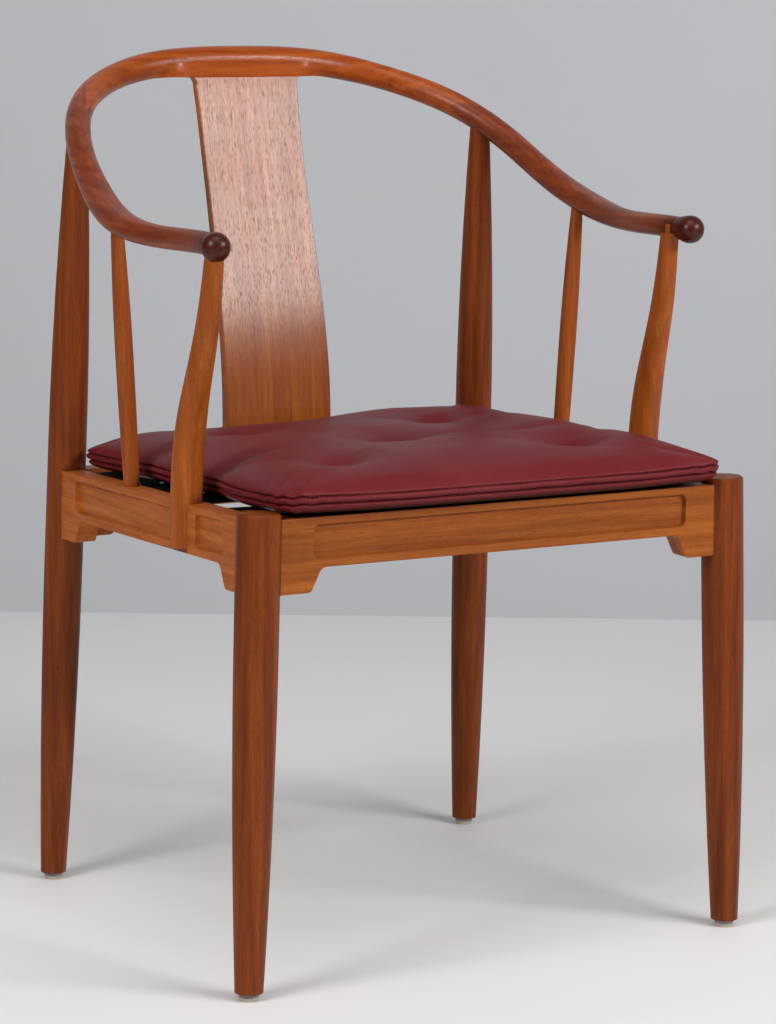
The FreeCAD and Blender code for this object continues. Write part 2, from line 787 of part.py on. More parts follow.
post_foot = place(V.post_half, V.post_setback, POST_SEAT.z - V.rail_height + V.post_foot_margin)
post_rings = [ring(post_foot + Vector(0, 0, V.post_foot_bevel), V.post_radius)]
post_rings += [ring(*post_axis(share)) for share, _, _ in POST_SHARES]
post_stem = Part.makeLoft(post_rings, True, False)
post_bevel = Part.makeCone(V.post_radius - V.post_foot_bevel, V.post_radius, V.post_foot_bevel, post_foot)
post_blank = feature("post_blank", post_stem.fuse(post_bevel))
post_lap_corner = Vector(post_run - 2 * V.post_radius, -V.rail_thick / 2, -V.rail_height - V.bracket_drop)
post_lap = block("post_lap", "4 * post_radius", "4 * post_radius", "rail_height + bracket_drop",
                 RAIL_FRAMES["right"], post_lap_corner)
post_end, _ = post_axis(1.0)
post_neck, _ = post_axis(POST_SHARES[-2][0])
post_lean = (post_end - post_neck).normalize()
post_peg_top = post_end + post_lean * V.post_top_peg_rise
post_peg_start = post_peg_top - post_lean * V.post_top_peg_length
DOWN = Vector(0, 0, -1)

post_low_start = POST_SEAT + Vector(0, 0, V.post_peg_root)
post_shaped = cut("post_shaped", post_blank, joined("post_waste", [post_lap, bow]))
right_arm_post = joined("right_arm_post", [
    post_shaped,
    peg("post_low_peg", "post_peg_radius", "post_peg_root + post_peg_length", post_low_start, DOWN),
    peg("post_top_peg", "post_top_peg_radius", "post_top_peg_length", post_peg_start, post_lean),
])
post_low_hole = peg("post_low_hole", "post_peg_radius + glue_gap",
                    "post_peg_root + post_peg_length + depth_gap", post_low_start, DOWN)
post_top_hole = peg("post_top_hole", "post_top_peg_radius + glue_gap", "post_top_peg_length + depth_gap",
                    post_peg_start, post_lean)

# Spindle: turned with a belly, scribed to the rail and the arm, pegged into both
SPINDLE_TOP = place(V.spindle_top_half, V.spindle_setback, V.spindle_top_height)
spindle_lean = (SPINDLE_TOP - SPINDLE_SEAT).normalize()
add_cell("spindle_run", (SPINDLE_TOP - SPINDLE_SEAT).Length)
spindle_turning = turned("spindle_turning", [
    ("0", "-overrun"),
    ("spindle_foot_radius", "-overrun",
     swell("spindle_belly_height + overrun", "spindle_radius", "spindle_foot_radius")),
    ("spindle_radius", "spindle_belly_height",
     swell("spindle_run - spindle_belly_height", "spindle_radius", "spindle_top_radius")),
    ("spindle_top_radius", "spindle_run"),
    ("0", "spindle_run"),
])
spindle_turning.Placement = leaning(SPINDLE_SEAT, SPINDLE_TOP)
spindle_shaped = cut("spindle_shaped", spindle_turning, joined("spindle_waste", [RAIL_BOARDS["right"], bow]))
spindle_low_start = SPINDLE_SEAT + spindle_lean * V.spindle_peg_root
spindle_peg_top = SPINDLE_TOP + spindle_lean * V.spindle_peg_rise
spindle_top_start = spindle_peg_top - spindle_lean * (V.spindle_peg_root + V.spindle_peg_length)
right_arm_spindle = joined("right_arm_spindle", [
    spindle_shaped,
    peg("spindle_low_peg", "spindle_peg_radius", "spindle_peg_root + spindle_peg_length", spindle_low_start,
        spindle_lean * -1),
    peg("spindle_top_peg", "spindle_peg_radius", "spindle_peg_root + spindle_peg_length", spindle_top_start,
        spindle_lean),
])
spindle_hole_depth = "spindle_peg_root + spindle_peg_length + depth_gap"
spindle_low_hole = peg("spindle_low_hole", "spindle_peg_radius + glue_gap", spindle_hole_depth,
                       spindle_low_start, spindle_lean * -1)
spindle_top_hole = peg("spindle_top_hole", "spindle_peg_radius + glue_gap", spindle_hole_depth,
                       spindle_top_start, spindle_lean)

# Webbing: four straps each way, woven over and under, with tails tacked inside the rails
SEAT_FRAME = FreeCAD.Placement(
    Vector(0, FRONT_AXIS.y, V.seat_height), FreeCAD.Rotation(Vector(1, 0, 0), -V.seat_rake))
SEAT_RUN = float(sheet.get("right_rail_run"))
STRAP_COUNT = 4
weave_swing = (V.strap_thick + V.strap_weave_gap) / 2
strap_level = -V.strap_sink - V.strap_thick / 2 - weave_swing
tack_level = -V.splat_foot_depth - V.tack_head_radius
strap_ways = [V.strap_pitch * (index - (STRAP_COUNT - 1) / 2) for index in range(STRAP_COUNT)]
strap_setbacks = [SEAT_RUN / 2 + way for way in strap_ways]


def woven_strip(start, end, crossings, first_sign):
    """A strip in its own frame: X along, Z up, as wide as a strap about Y = 0."""
    line = [(start, 0)]
    for index, crossing in enumerate(crossings):
        level = first_sign * (-1) ** index * weave_swing
        flat = V.strap_width / 2 + V.strap_ramp
        line += [(crossing - flat, level), (crossing + flat, level)]
    line.append((end, 0))
    half = V.strap_thick / 2
    points = [Vector(x, -V.strap_width / 2, strap_level + z + half) for x, z in line]
    points += [Vector(x, -V.strap_width / 2, strap_level + z - half) for x, z in reversed(line)]
    return Part.Face(Part.makePolygon(points + points[:1])).extrude(Vector(0, V.strap_width, 0))


def strap_tail(rail, run):
    """The turned-down end of a strap, flat against the inner face of a rail."""
    top = strap_level + V.strap_thick / 2
    low = tack_level - V.tack_head_radius - V.strap_tail_margin
    tail = Part.makeBox(V.strap_width, V.strap_thick, top - low,
                        Vector(run - V.strap_width / 2, V.rail_thick / 2, low))
    tail.Placement = RAIL_FRAMES[rail]
    return tail


def tack(rail, run):
    """A tack through a strap's tail into the rail, below the foot of the splat, head towards the seat."""
    seat = Vector(run, V.rail_thick / 2 + V.strap_thick, tack_level)
    head = Part.makeCylinder(V.tack_head_radius, V.tack_head_thick, seat, Vector(0, 1, 0))
    shank = Part.makeCylinder(V.tack_shank_radius, V.tack_shank_length, seat, Vector(0, -1, 0))
    whole = head.fuse(shank)
    whole.Placement = RAIL_FRAMES[rail]
    return whole


tacks = {"front": [], "rear": [], "right": []}
mirror_plane = (Vector(0, 0, 0), Vector(1, 0, 0))
left_board = RAIL_BOARDS["right"].Shape.mirror(*mirror_plane)
rail_solids = [board.Shape for board in RAIL_BOARDS.values()] + [left_board]
STRAPS = {}
turn_along = FreeCAD.Placement(Vector(0, 0, 0), FreeCAD.Rotation(Vector(0, 0, 1), 90))
for index, way in enumerate(strap_ways):
    strip = woven_strip(0, SEAT_RUN, strap_setbacks, (-1) ** index)
    aside = FreeCAD.Placement(Vector(way, 0, 0), FreeCAD.Rotation())
    strip.Placement = SEAT_FRAME.multiply(aside.multiply(turn_along))
    front_run = float(sheet.get("front_rail_run")) / 2 + way
    rear_run = float(sheet.get("rear_rail_run")) / 2 - way
    tails = [strap_tail("front", front_run), strap_tail("rear", rear_run)]
    for spread in (-V.tack_spread, V.tack_spread):
        tacks["front"].append(tack("front", front_run + spread))
        tacks["rear"].append(tack("rear", rear_run + spread))
    STRAPS[f"long_strap_{index + 1}"] = strip.cut(rail_solids).fuse(tails)
for index, setback in enumerate(strap_setbacks):
    half = on_side_rail(setback + FRONT_AXIS.y - V.front_line)[0].x
    crossings = [half + way for way in strap_ways]
    strip = woven_strip(0, 2 * half, crossings, -((-1) ** index))
    strip.Placement = SEAT_FRAME.multiply(FreeCAD.Placement(Vector(-half, setback, 0), FreeCAD.Rotation()))
    tail = strap_tail("right", setback)
    for spread in (-V.tack_spread, V.tack_spread):
        tacks["right"].append(tack("right", setback + spread))
    STRAPS[f"cross_strap_{index + 1}"] = strip.cut(rail_solids).fuse([tail, tail.mirror(*mirror_plane)])
left_tacks = [shape.mirror(*mirror_plane) for shape in tacks["right"]]
all_tacks = feature("webbing_tacks", Part.Compound(sum(tacks.values(), []) + left_tacks))
straps = [feature(name, shape.cut(all_tacks.Shape)) for name, shape in STRAPS.items()]

# Seat rails: scribed to the legs, with tenons, and holes for what stands on them
front_leg_left = mirrored("front_leg_turning_left", front_leg_turning)
rear_leg_left = mirrored("rear_leg_turning_left", rear_leg_turning)


def seat_rail(name, legs, holes):
    board = cut(f"{name}_rail_scribed", RAIL_BOARDS[name], joined(f"{name}_rail_ends", legs))
    if holes:
        board = cut(f"{name}_rail_bored", board, joined(f"{name}_rail_holes", holes))
    board = cut(f"{name}_rail_tacked", board, all_tacks)
    tenons = [tenon(f"{name}_tenon_{end}", name, end == "start", None) for end in ("start", "end")]
    return joined(f"{name}_seat_rail", [board] + tenons)


front_seat_rail = seat_rail("front", [front_leg_turning, front_leg_left], [])
rear_seat_rail_solid = seat_rail("rear", [rear_leg_turning, rear_leg_left], [])
right_seat_rail = seat_rail("right", [front_leg_turning, rear_leg_turning], [post_low_hole, spindle_low_hole])

# Splat: a bent board, its foot let into the rear rail and a thin tenon in the crest
REAR_TOP_MIDDLE = RAILS["rear"][0]
splat_foot_height = REAR_TOP_MIDDLE.z - V.splat_foot_depth
splat_height = SPLAT_TOP_HEIGHT - splat_foot_height


def spline(points):
    curve = Part.BSplineCurve()
    curve.interpolate(points)
    return curve


def splat_front(share, lean, shift):
    setback = blend(V.splat_foot_setback, V.splat_top_setback, lean) + shift
    return Vector(V.front_line + setback, splat_foot_height + splat_height * share, 0)


def free_sketch(body, name, role, geometry):
    sketch = body.newObject("Sketcher::SketchObject", name)
    plane = next(item for item in body.Origin.OriginFeatures if item.Role == role)
    sketch.AttachmentSupport = [(plane, "")]
    sketch.MapMode = "FlatFace"
    for item in geometry:
        sketch.addGeometry(item)
    return sketch


splat_body = new_body("splat_board")
front_points = [splat_front(share, lean, 0) for share, lean in SPLAT_SHARES]
back_points = [splat_front(share, lean, V.splat_thick) for share, lean in SPLAT_SHARES]
splat_side = free_sketch(splat_body, "splat_side", "YZ_Plane", [
    spline(front_points),
    Part.LineSegment(front_points[-1], back_points[-1]),
    spline(back_points),
    Part.LineSegment(back_points[0], front_points[0]),
])
splat_pad = splat_body.newObject("PartDesign::Pad", "splat_pad")
splat_pad.Profile = splat_side
splat_pad.Midplane = True
splat_pad.setExpression("Length", bound("2 * splat_top_half + 2 * overrun"))


def splat_waste(side):
    """The waste beside one edge of the splat, from below its foot to above its top."""
    edge = []
    for share, waist in SPLAT_EDGE_SHARES:
        half_width = blend(V.splat_foot_half, V.splat_waist_half, waist)
        edge.append(Vector(side * half_width, splat_foot_height + splat_height * share, 0))
    neck = Vector(side * V.splat_neck_half, SPLAT_TOP_HEIGHT - V.splat_neck_drop, 0)
    top = Vector(side * V.splat_top_half, SPLAT_TOP_HEIGHT, 0)
    half = (top - neck) * 0.5
    inward = Vector(-abs(half.y) * side, abs(half.x), 0).normalize()
    rise = V.splat_neck_round - math.sqrt(V.splat_neck_round ** 2 - half.Length ** 2)
    out = side * (V.splat_top_half + 3 * V.overrun)
    return [
        spline(edge + [neck]),
        Part.Arc(neck, neck + half + inward * rise, top),
        Part.LineSegment(top, Vector(out, SPLAT_TOP_HEIGHT, 0)),
        Part.LineSegment(Vector(out, SPLAT_TOP_HEIGHT, 0), Vector(out, edge[0].y, 0)),
        Part.LineSegment(Vector(out, edge[0].y, 0), edge[0]),
    ]


splat_edges = free_sketch(splat_body, "splat_edges", "XZ_Plane", splat_waste(1) + splat_waste(-1))
splat_pocket = splat_body.newObject("PartDesign::Pocket", "splat_sides")
splat_pocket.Profile = splat_edges
splat_pocket.Type = "ThroughAll"
splat_pocket.Midplane = True
document.recompute()
splat_bevel = splat_body.newObject("PartDesign::Chamfer", "splat_bevel")
splat_bevel.Base = (splat_pocket, [
    f"Edge{number}"
    for number, edge in enumerate(splat_pocket.Shape.Edges, start=1)
    if edge.BoundBox.ZLength > V.splat_neck_drop / 2
])
splat_bevel.setExpression("Size", bound("splat_edge"))
splat_tenon_corner = Vector(
    -V.splat_tenon_half,
    V.front_line + V.splat_top_setback + V.splat_thick - V.splat_tenon_inset - V.splat_tenon_thick,
    SPLAT_TOP_HEIGHT - V.overrun,
)
splat_tenon = block("splat_tenon", "2 * splat_tenon_half", "splat_tenon_thick",
                    "splat_tenon_length + overrun", FreeCAD.Placement(), splat_tenon_corner)
back_splat = joined("back_splat", [splat_body, splat_tenon])
splat_mortise_corner = splat_tenon_corner - Vector(V.glue_gap, V.glue_gap, 0)
splat_mortise = block("splat_mortise", "2 * splat_tenon_half + 2 * glue_gap",
                      "splat_tenon_thick + 2 * glue_gap", "splat_tenon_length + overrun + depth_gap",
                      FreeCAD.Placement(), splat_mortise_corner)
splat_slot = block("splat_slot", "2 * splat_foot_half + 2 * glue_gap", "splat_thick + 2 * glue_gap",
                   "splat_foot_depth + overrun + depth_gap", FreeCAD.Placement(),
                   Vector(-V.splat_foot_half - V.glue_gap, V.front_line + V.splat_foot_setback - V.glue_gap,
                          splat_foot_height - V.depth_gap))
rear_seat_rail = cut("rear_seat_rail_slotted", rear_seat_rail_solid, splat_slot)

# Legs: mortised for the rails, trimmed level over the glides
front_sole = at_sole(FRONT_FOOT, FRONT_TOP)
rear_sole = at_sole(REAR_FOOT, REAR_TOP)
UP = Vector(0, 0, 1)
nail_hole = ("glide_nail_radius + glue_gap", "glide_nail_length + depth_gap")
front_right_leg = cut("front_right_leg", front_leg_turning, joined("front_leg_waste", [
    floor_block("front_leg_floor", FRONT_FOOT),
    tenon("front_leg_mortise_front", "front", False, "glue_gap"),
    tenon("front_leg_mortise_side", "right", True, "glue_gap"),
    peg("front_leg_nail_hole", *nail_hole, front_sole, UP),
]))
rear_leg_shaped = cut("rear_leg_shaped", rear_leg_turning, joined("rear_leg_waste", [
    floor_block("rear_leg_floor", REAR_FOOT),
    tenon("rear_leg_mortise_rear", "rear", True, "glue_gap"),
    tenon("rear_leg_mortise_side", "right", False, "glue_gap"),
    peg("rear_leg_nail_hole", *nail_hole, rear_sole, UP),
    bow,
]))
rear_lean = (REAR_TOP - REAR_FOOT).normalize()
leg_peg_start = REAR_TOP + rear_lean * (V.leg_peg_rise - V.leg_peg_length)
rear_right_leg = joined("rear_right_leg", [
    rear_leg_shaped,
    peg("leg_peg", "leg_peg_radius", "leg_peg_length", leg_peg_start, rear_lean),
])
leg_hole = peg("leg_hole", "leg_peg_radius + glue_gap", "leg_peg_length + depth_gap", leg_peg_start,
               rear_lean)

# Horseshoe pieces: parted at the splices and bored
right_arm_blank = document.addObject("Part::Common", "right_arm_blank")
right_arm_blank.Base = bow
right_arm_blank.Tool = splice
arm_waste = joined("arm_waste", [leg_hole, post_top_hole, spindle_top_hole])
right_arm_rail = cut("right_arm_rail", right_arm_blank, arm_waste)
crest_rail = cut("crest_rail", bow, joined("crest_waste", [splice, splice_left, splat_mortise]))

# Glides and felt pads
glide = turned("glide_turning", [
    ("0", "felt_height"),
    ("glide_radius", "felt_height"),
    ("glide_radius", "felt_height + glide_height"),
    ("glide_nail_radius", "felt_height + glide_height"),
    ("glide_nail_radius", "felt_height + glide_height + glide_nail_length"),
    ("0", "felt_height + glide_height + glide_nail_length"),
])
felt = turned("felt_turning", [
    ("0", "0"),
    ("glide_radius", "0"),
    ("glide_radius", "felt_height"),
    ("0", "felt_height"),
])


def set_down(name, source, sole):
    piece = document.addObject("Part::Feature", name)
    piece.Shape = source.Shape.copy()
    piece.Placement = FreeCAD.Placement(Vector(sole.x, sole.y, 0), FreeCAD.Rotation())
    return piece


document.recompute()
FEET = {"front_right": front_sole, "rear_right": rear_sole}
right_pieces = {
    "arm_rail": right_arm_rail,
    "arm_post": right_arm_post,
    "arm_spindle": right_arm_spindle,
    "seat_rail": right_seat_rail,
}
pieces = {
    "crest_rail": crest_rail,
    "back_splat": back_splat,
    "front_seat_rail": front_seat_rail,
    "rear_seat_rail": rear_seat_rail,
    "webbing_tacks": all_tacks,
}
for name, piece in right_pieces.items():
    pieces[f"right_{name}"] = piece
    pieces[f"left_{name}"] = mirrored(f"left_{name}", piece)
for name, leg in {"front": front_right_leg, "rear": rear_right_leg}.items():
    pieces[f"{name}_right_leg"] = leg
    pieces[f"{name}_left_leg"] = mirrored(f"{name}_left_leg", leg)
for corner, sole in FEET.items():
    for kind, source in {"glide": glide, "felt_pad": felt}.items():
        right = set_down(f"{corner}_{kind}", source, sole)
        pieces[f"{corner}_{kind}"] = right
        left_name = f"{corner.replace('right', 'left')}_{kind}"
        pieces[left_name] = mirrored(left_name, right)
for strap in straps:
    pieces[strap.Name] = strap


# Cushion: a loose lofted pad with a crown, a drawn-in band, three lobes a side and five sewn tufts
def cushion_outline(level, drawn_in):
    """A closed wire of lines and arcs around the cushion in the seat's own plane."""
    inset = drawn_in * V.cushion_front_half
    calm = max(LEAST_LOBE_SHARE, 1 - 2 * drawn_in / CUSHION_LEVEL_SHARES[-1][3])
    front = -V.cushion_front + inset
    back = V.cushion_back - FRONT_AXIS.y + V.front_line - inset
    front_half = V.cushion_front_half - inset
    back_half = V.cushion_back_half - inset
    lobe_half = V.cushion_lobe_half - inset
    notch_half = blend(lobe_half, V.cushion_notch_half - inset, calm)
    corner = V.cushion_corner
    round_share = 1 - math.sqrt(0.5)
    post_y = V.post_setback - (FRONT_AXIS.y - V.front_line)
    spindle_y = V.spindle_setback - (FRONT_AXIS.y - V.front_line)
    side = [
        (front_half - corner, front),
        (front_half - corner * round_share, front + corner * round_share),
        (front_half, front + corner),
        (blend(front_half, lobe_half, FRONT_LOBE_SHARES[0]),
         blend(front + corner, post_y, FRONT_LOBE_SHARES[1])),
        (notch_half, post_y),
        (lobe_half, (post_y + spindle_y) / 2),
        (notch_half, spindle_y),
        (blend(lobe_half, back_half, BACK_LOBE_SHARES[0]),
         blend(spindle_y, back - corner, BACK_LOBE_SHARES[1])),
        (back_half, back - corner),
        (back_half - corner * round_share, back - corner * round_share),
        (back_half - corner, back),
    ]
    right = [Vector(x, y, level) for x, y in side]
    left = [across(point) for point in reversed(right)]
    edges = [Part.Arc(left[-1], Vector(0, front - V.cushion_bow, level), right[0]).toShape()]
    for points in (right, left):
        for index in range(0, len(points) - 2, 2):
            edges.append(Part.Arc(*points[index:index + 3]).toShape())
        if points is right:
            edges.append(Part.makeLine(right[-1], left[0]))
    return Part.Wire(edges)


def cushion_solid():
    sections = []
    for low, high, share, drawn_in in CUSHION_LEVEL_SHARES:
        level = blend(getattr(V, low), getattr(V, high), share)
        sections.append(cushion_outline(level, drawn_in))
    pad = Part.makeLoft(sections, True, True)
    shift = FRONT_AXIS.y - V.front_line
    pit_level = V.cushion_crown - V.tuft_depth
    tufts = [(0, V.tuft_middle_setback - shift)]
    tufts += [(side * V.tuft_front_half, V.tuft_front_setback - shift) for side in (-1, 1)]
    tufts += [(side * V.tuft_back_half, V.tuft_back_setback - shift) for side in (-1, 1)]
    waste = [Part.makeSphere(V.tuft_radius, Vector(x, y, pit_level + V.tuft_radius)) for x, y in tufts]
    post_y = V.post_setback - shift
    spindle_y = V.spindle_setback - shift
    for side in (-1, 1):
        for (tuft_x, tuft_y), notch_y in (
            ((0, V.tuft_middle_setback - shift), post_y),
            ((side * V.tuft_front_half, V.tuft_front_setback - shift), post_y),
            ((side * V.tuft_back_half, V.tuft_back_setback - shift), spindle_y),
        ):
            start = Vector(tuft_x, tuft_y, pit_level + V.crease_depth + V.crease_radius)
            end_level = V.cushion_band_high + V.crease_depth + V.crease_radius
            end = Vector(side * V.cushion_lobe_half, notch_y, end_level)
            waste.append(Part.makeCylinder(V.crease_radius, (end - start).Length, start, end - start))
    return pad.cut(waste)


# The front rail is level, so its inner edge stands a little above the sloping seat, and the cushion clears it
cushion_lift = Vector(0, 0, V.rail_thick / 2 * math.tan(math.radians(V.seat_rake)))
cushion_frame = SEAT_FRAME.multiply(FreeCAD.Placement(cushion_lift, FreeCAD.Rotation()))
pieces["seat_cushion"] = feature("seat_cushion", cushion_solid(), cushion_frame)

# Every piece is checked before any is written
document.recompute()
faults = [item.Name for item in document.Objects if "Invalid" in item.State or "Error" in item.State]
for name, piece in pieces.items():
    piece.Label = name
    if piece.Shape.isNull() or not piece.Shape.isValid() or not piece.Shape.Solids:
        faults.append(name)
if faults:
    raise RuntimeError(f"these did not build: {faults}")
os.makedirs("parts", exist_ok=True)
for name, piece in pieces.items():
    piece.Shape.exportStep(f"parts/{name}.step")
    box = piece.Shape.optimalBoundingBox()
    print(f"{name:20s} solids {len(piece.Shape.Solids):2d}  volume {piece.Shape.Volume:11.0f}  "
          f"x {box.XMin:7.1f} {box.XMax:7.1f}  y {box.YMin:7.1f} {box.YMax:7.1f}  "
          f"z {box.ZMin:7.1f} {box.ZMax:7.1f}")
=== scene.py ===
# %% [markdown]
# # A horseshoe back armchair
#
# The chair is a wooden frame with a loose leather cushion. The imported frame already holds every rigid
# piece at its real size and place. This lesson dresses it: it gives each piece of wood its grain and
# lacquer, models the cushion as a stitched and stuffed cover, and sets up the floor, the lamps and the
# camera. All lengths here are metres, unless a name says otherwise.

# %% Load the frame
import math

import bpy
import numpy as np
from mathutils import Matrix, Vector


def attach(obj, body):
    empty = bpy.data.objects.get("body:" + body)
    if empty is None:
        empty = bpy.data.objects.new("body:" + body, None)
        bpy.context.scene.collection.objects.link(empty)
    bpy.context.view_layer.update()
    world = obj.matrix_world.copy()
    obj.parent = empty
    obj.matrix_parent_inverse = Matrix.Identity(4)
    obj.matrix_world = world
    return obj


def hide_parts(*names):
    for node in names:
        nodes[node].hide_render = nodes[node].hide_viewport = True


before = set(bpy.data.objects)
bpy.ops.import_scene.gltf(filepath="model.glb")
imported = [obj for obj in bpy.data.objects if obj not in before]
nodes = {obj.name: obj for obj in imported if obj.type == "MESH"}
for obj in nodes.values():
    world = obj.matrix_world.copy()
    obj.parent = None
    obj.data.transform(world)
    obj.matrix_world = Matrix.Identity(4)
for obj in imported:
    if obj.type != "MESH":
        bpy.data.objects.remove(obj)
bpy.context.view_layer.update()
MM = 0.001

# %% [markdown]
# ## Camera
#
# The photograph was taken with a long lens from the front left, a little above the crest rail. A camera
# can be placed by hand, but here its place and its three angles are known, so its matrix is built from
# them. Yaw turns it about the upright, pitch tips it down, and roll is the small tilt of the picture.

# %% Camera
CAMERA_PLACE = Vector((-1.655094, -2.908208, 0.927601))
CAMERA_YAW = -0.5245076
CAMERA_PITCH = 0.1616535
CAMERA_ROLL = 0.0116910
FOCAL_PIXELS = 3507.167
PICTURE_HEIGHT_PIXELS = 1024
SENSOR = 36.0

camera_back = Vector((
    math.sin(CAMERA_YAW) * math.cos(CAMERA_PITCH),
    -math.cos(CAMERA_YAW) * math.cos(CAMERA_PITCH),
    math.sin(CAMERA_PITCH),
))
camera_right = (-camera_back).cross(Vector((0, 0, 1))).normalized()
camera_up = camera_right.cross(-camera_back)
rolled_right = camera_right * math.cos(CAMERA_ROLL) + camera_up * math.sin(CAMERA_ROLL)
rolled_up = camera_up * math.cos(CAMERA_ROLL) - camera_right * math.sin(CAMERA_ROLL)
lens = bpy.data.cameras.new("camera")
lens.sensor_width = SENSOR
lens.lens = FOCAL_PIXELS * SENSOR / PICTURE_HEIGHT_PIXELS
camera = bpy.data.objects.new("camera", lens)
bpy.context.scene.collection.objects.link(camera)
turn = Matrix((rolled_right, rolled_up, camera_back)).transposed()
camera.matrix_world = Matrix.Translation(CAMERA_PLACE) @ turn.to_4x4()
bpy.context.scene.camera = camera
print("lens", round(lens.lens, 1), "mm")

# %% [markdown]
# ## Wiring materials
#
# Every finish below is a small network of shader nodes. Written out one call at a time they get long,
# so a few helpers do the wiring: one starts a material with its main shader, one adds a node and
# connects it, and the rest are the steps that come back in every finish, such as a colour ramp or a
# blend of two colours.

# %% Helpers for materials
def new_material(name, roughness=0.5):
    """A material with one Principled shader, and its node tree."""
    material = bpy.data.materials.new(name)
    material.use_nodes = True
    tree = material.node_tree
    shader = tree.nodes["Principled BSDF"]
    shader.inputs["Roughness"].default_value = roughness
    return material, tree, shader


def wire(tree, kind, values=None, **options):
    """Adds a node with its options, and gives each input a number, a colour or another output."""
    item = tree.nodes.new(kind)
    for name, option in options.items():
        setattr(item, name, option)
    for name, value in (values or {}).items():
        if isinstance(value, bpy.types.NodeSocket):
            tree.links.new(value, item.inputs[name])
        else:
            item.inputs[name].default_value = value
    return item


def ramp(tree, source, stops):
    """A colour ramp: stops are (place, colour) pairs."""
    item = wire(tree, "ShaderNodeValToRGB", {"Fac": source})
    elements = item.color_ramp.elements
    elements[0].position, elements[1].position = stops[0][0], stops[-1][0]
    elements[0].color, elements[1].color = (*stops[0][1], 1), (*stops[-1][1], 1)
    for place, colour in stops[1:-1]:
        elements.new(place).color = (*colour, 1)
    return item.outputs["Color"]


def blended(tree, share, first, second, way="MIX"):
    """Two colours mixed by a share, which is a number or another output."""
    item = wire(tree, "ShaderNodeMix", data_type="RGBA", blend_type=way)
    for index, value in ((0, share), (6, first), (7, second)):
        if isinstance(value, bpy.types.NodeSocket):
            tree.links.new(value, item.inputs[index])
        elif index:
            item.inputs[index].default_value = (*value, 1)
        else:
            item.inputs[index].default_value = value
    return item.outputs[2]


def fitted(tree, source, low, high, new_low=0.0, new_high=1.0, smooth=False):
    """A value moved from one range to another, held at the ends."""
    item = wire(tree, "ShaderNodeMapRange", {
        "Value": source, "From Min": low, "From Max": high, "To Min": new_low, "To Max": new_high,
    })
    if smooth:
        item.interpolation_type = "SMOOTHSTEP"
    return item.outputs["Result"]


def reckoned(tree, way, first, second=0.0):
    """One step of arithmetic."""
    return wire(tree, "ShaderNodeMath", {0: first, 1: second}, operation=way).outputs[0]


def object_place(tree):
    """The place on the piece, in metres, that every pattern reads."""
    return wire(tree, "ShaderNodeTexCoord").outputs["Object"]


def dressed(piece, material):
    """Gives a piece one material in every slot it has."""
    if not piece.data.materials:
        piece.data.materials.append(material)
    for index in range(len(piece.data.materials)):
        piece.data.materials[index] = material


print("helpers ready")

# %% [markdown]
# ## Floor, wall and lamps
#
# The chair stands on a plain pale floor, with a grey wall some way behind it. Floor and wall could be
# one curved sheet, but the photograph shows where they meet, so they are two planes. The wall faces the
# camera and is clear from its back, so that it hides nothing when the chair is looked at from behind.
# Three soft lamps light the chair, from the left, from the front right and from above. Square sheets of
# light give the lacquer the broad, even highlights of a studio, and a weak grey surround fills the
# shadows.

# %% Floor and wall
FLOOR_HALF = 7.0
WALL_POINT = Vector((0.745, 1.2365, 0))
WALL_HALF = 5.0
WALL_HEIGHT = 4.0
FLOOR_COLOUR = (0.80, 0.785, 0.775)
WALL_COLOUR = (0.50, 0.51, 0.53)
CLOUD_SCALE, CLOUD_GAIN = 1.6, 1.03


def flat_sheet(name, corners, material):
    """A plane of four corners that belongs to the studio and not to the chair."""
    mesh = bpy.data.meshes.new(name)
    mesh.from_pydata([tuple(corner) for corner in corners], [], [(0, 1, 2, 3)])
    sheet = bpy.data.objects.new(name, mesh)
    bpy.context.scene.collection.objects.link(sheet)
    mesh.materials.append(material)
    return sheet


def backdrop_paint(name, colour, clear_from_behind):
    """Matt paint with a faint cloud in it."""
    material, tree, shader = new_material(name, 0.65)
    place = object_place(tree)
    cloud = wire(tree, "ShaderNodeTexNoise", {"Vector": place, "Scale": CLOUD_SCALE, "Detail": 3.0})
    pale = tuple(channel * CLOUD_GAIN for channel in colour)
    shade = ramp(tree, cloud.outputs["Fac"], [(0.3, colour), (0.7, pale)])
    tree.links.new(shade, shader.inputs["Base Color"])
    shader.inputs["Specular IOR Level"].default_value = 0.25
    if clear_from_behind:
        side = wire(tree, "ShaderNodeNewGeometry").outputs["Backfacing"]
        clear = wire(tree, "ShaderNodeBsdfTransparent").outputs[0]
        mixed = wire(tree, "ShaderNodeMixShader", {0: side, 1: shader.outputs[0], 2: clear})
        tree.links.new(mixed.outputs[0], tree.nodes["Material Output"].inputs["Surface"])
    return material


wall_way = Vector((camera_back.y, -camera_back.x, 0)).normalized()
wall_low = WALL_POINT + wall_way * WALL_HALF
wall_high = WALL_POINT - wall_way * WALL_HALF
rise = Vector((0, 0, WALL_HEIGHT))
floor_corners = [(FLOOR_HALF * x, FLOOR_HALF * y, 0) for x, y in ((-1, -1), (1, -1), (1, 1), (-1, 1))]
flat_sheet("floor", floor_corners, backdrop_paint("floor_paint", FLOOR_COLOUR, False))
wall = flat_sheet("wall", [wall_low, wall_high, wall_high + rise, wall_low + rise],
                  backdrop_paint("wall_paint", WALL_COLOUR, True))
facing = wall.data.polygons[0].normal.dot(camera_back)
if facing < 0:
    wall.data.flip_normals()
print("wall faces the camera", facing)

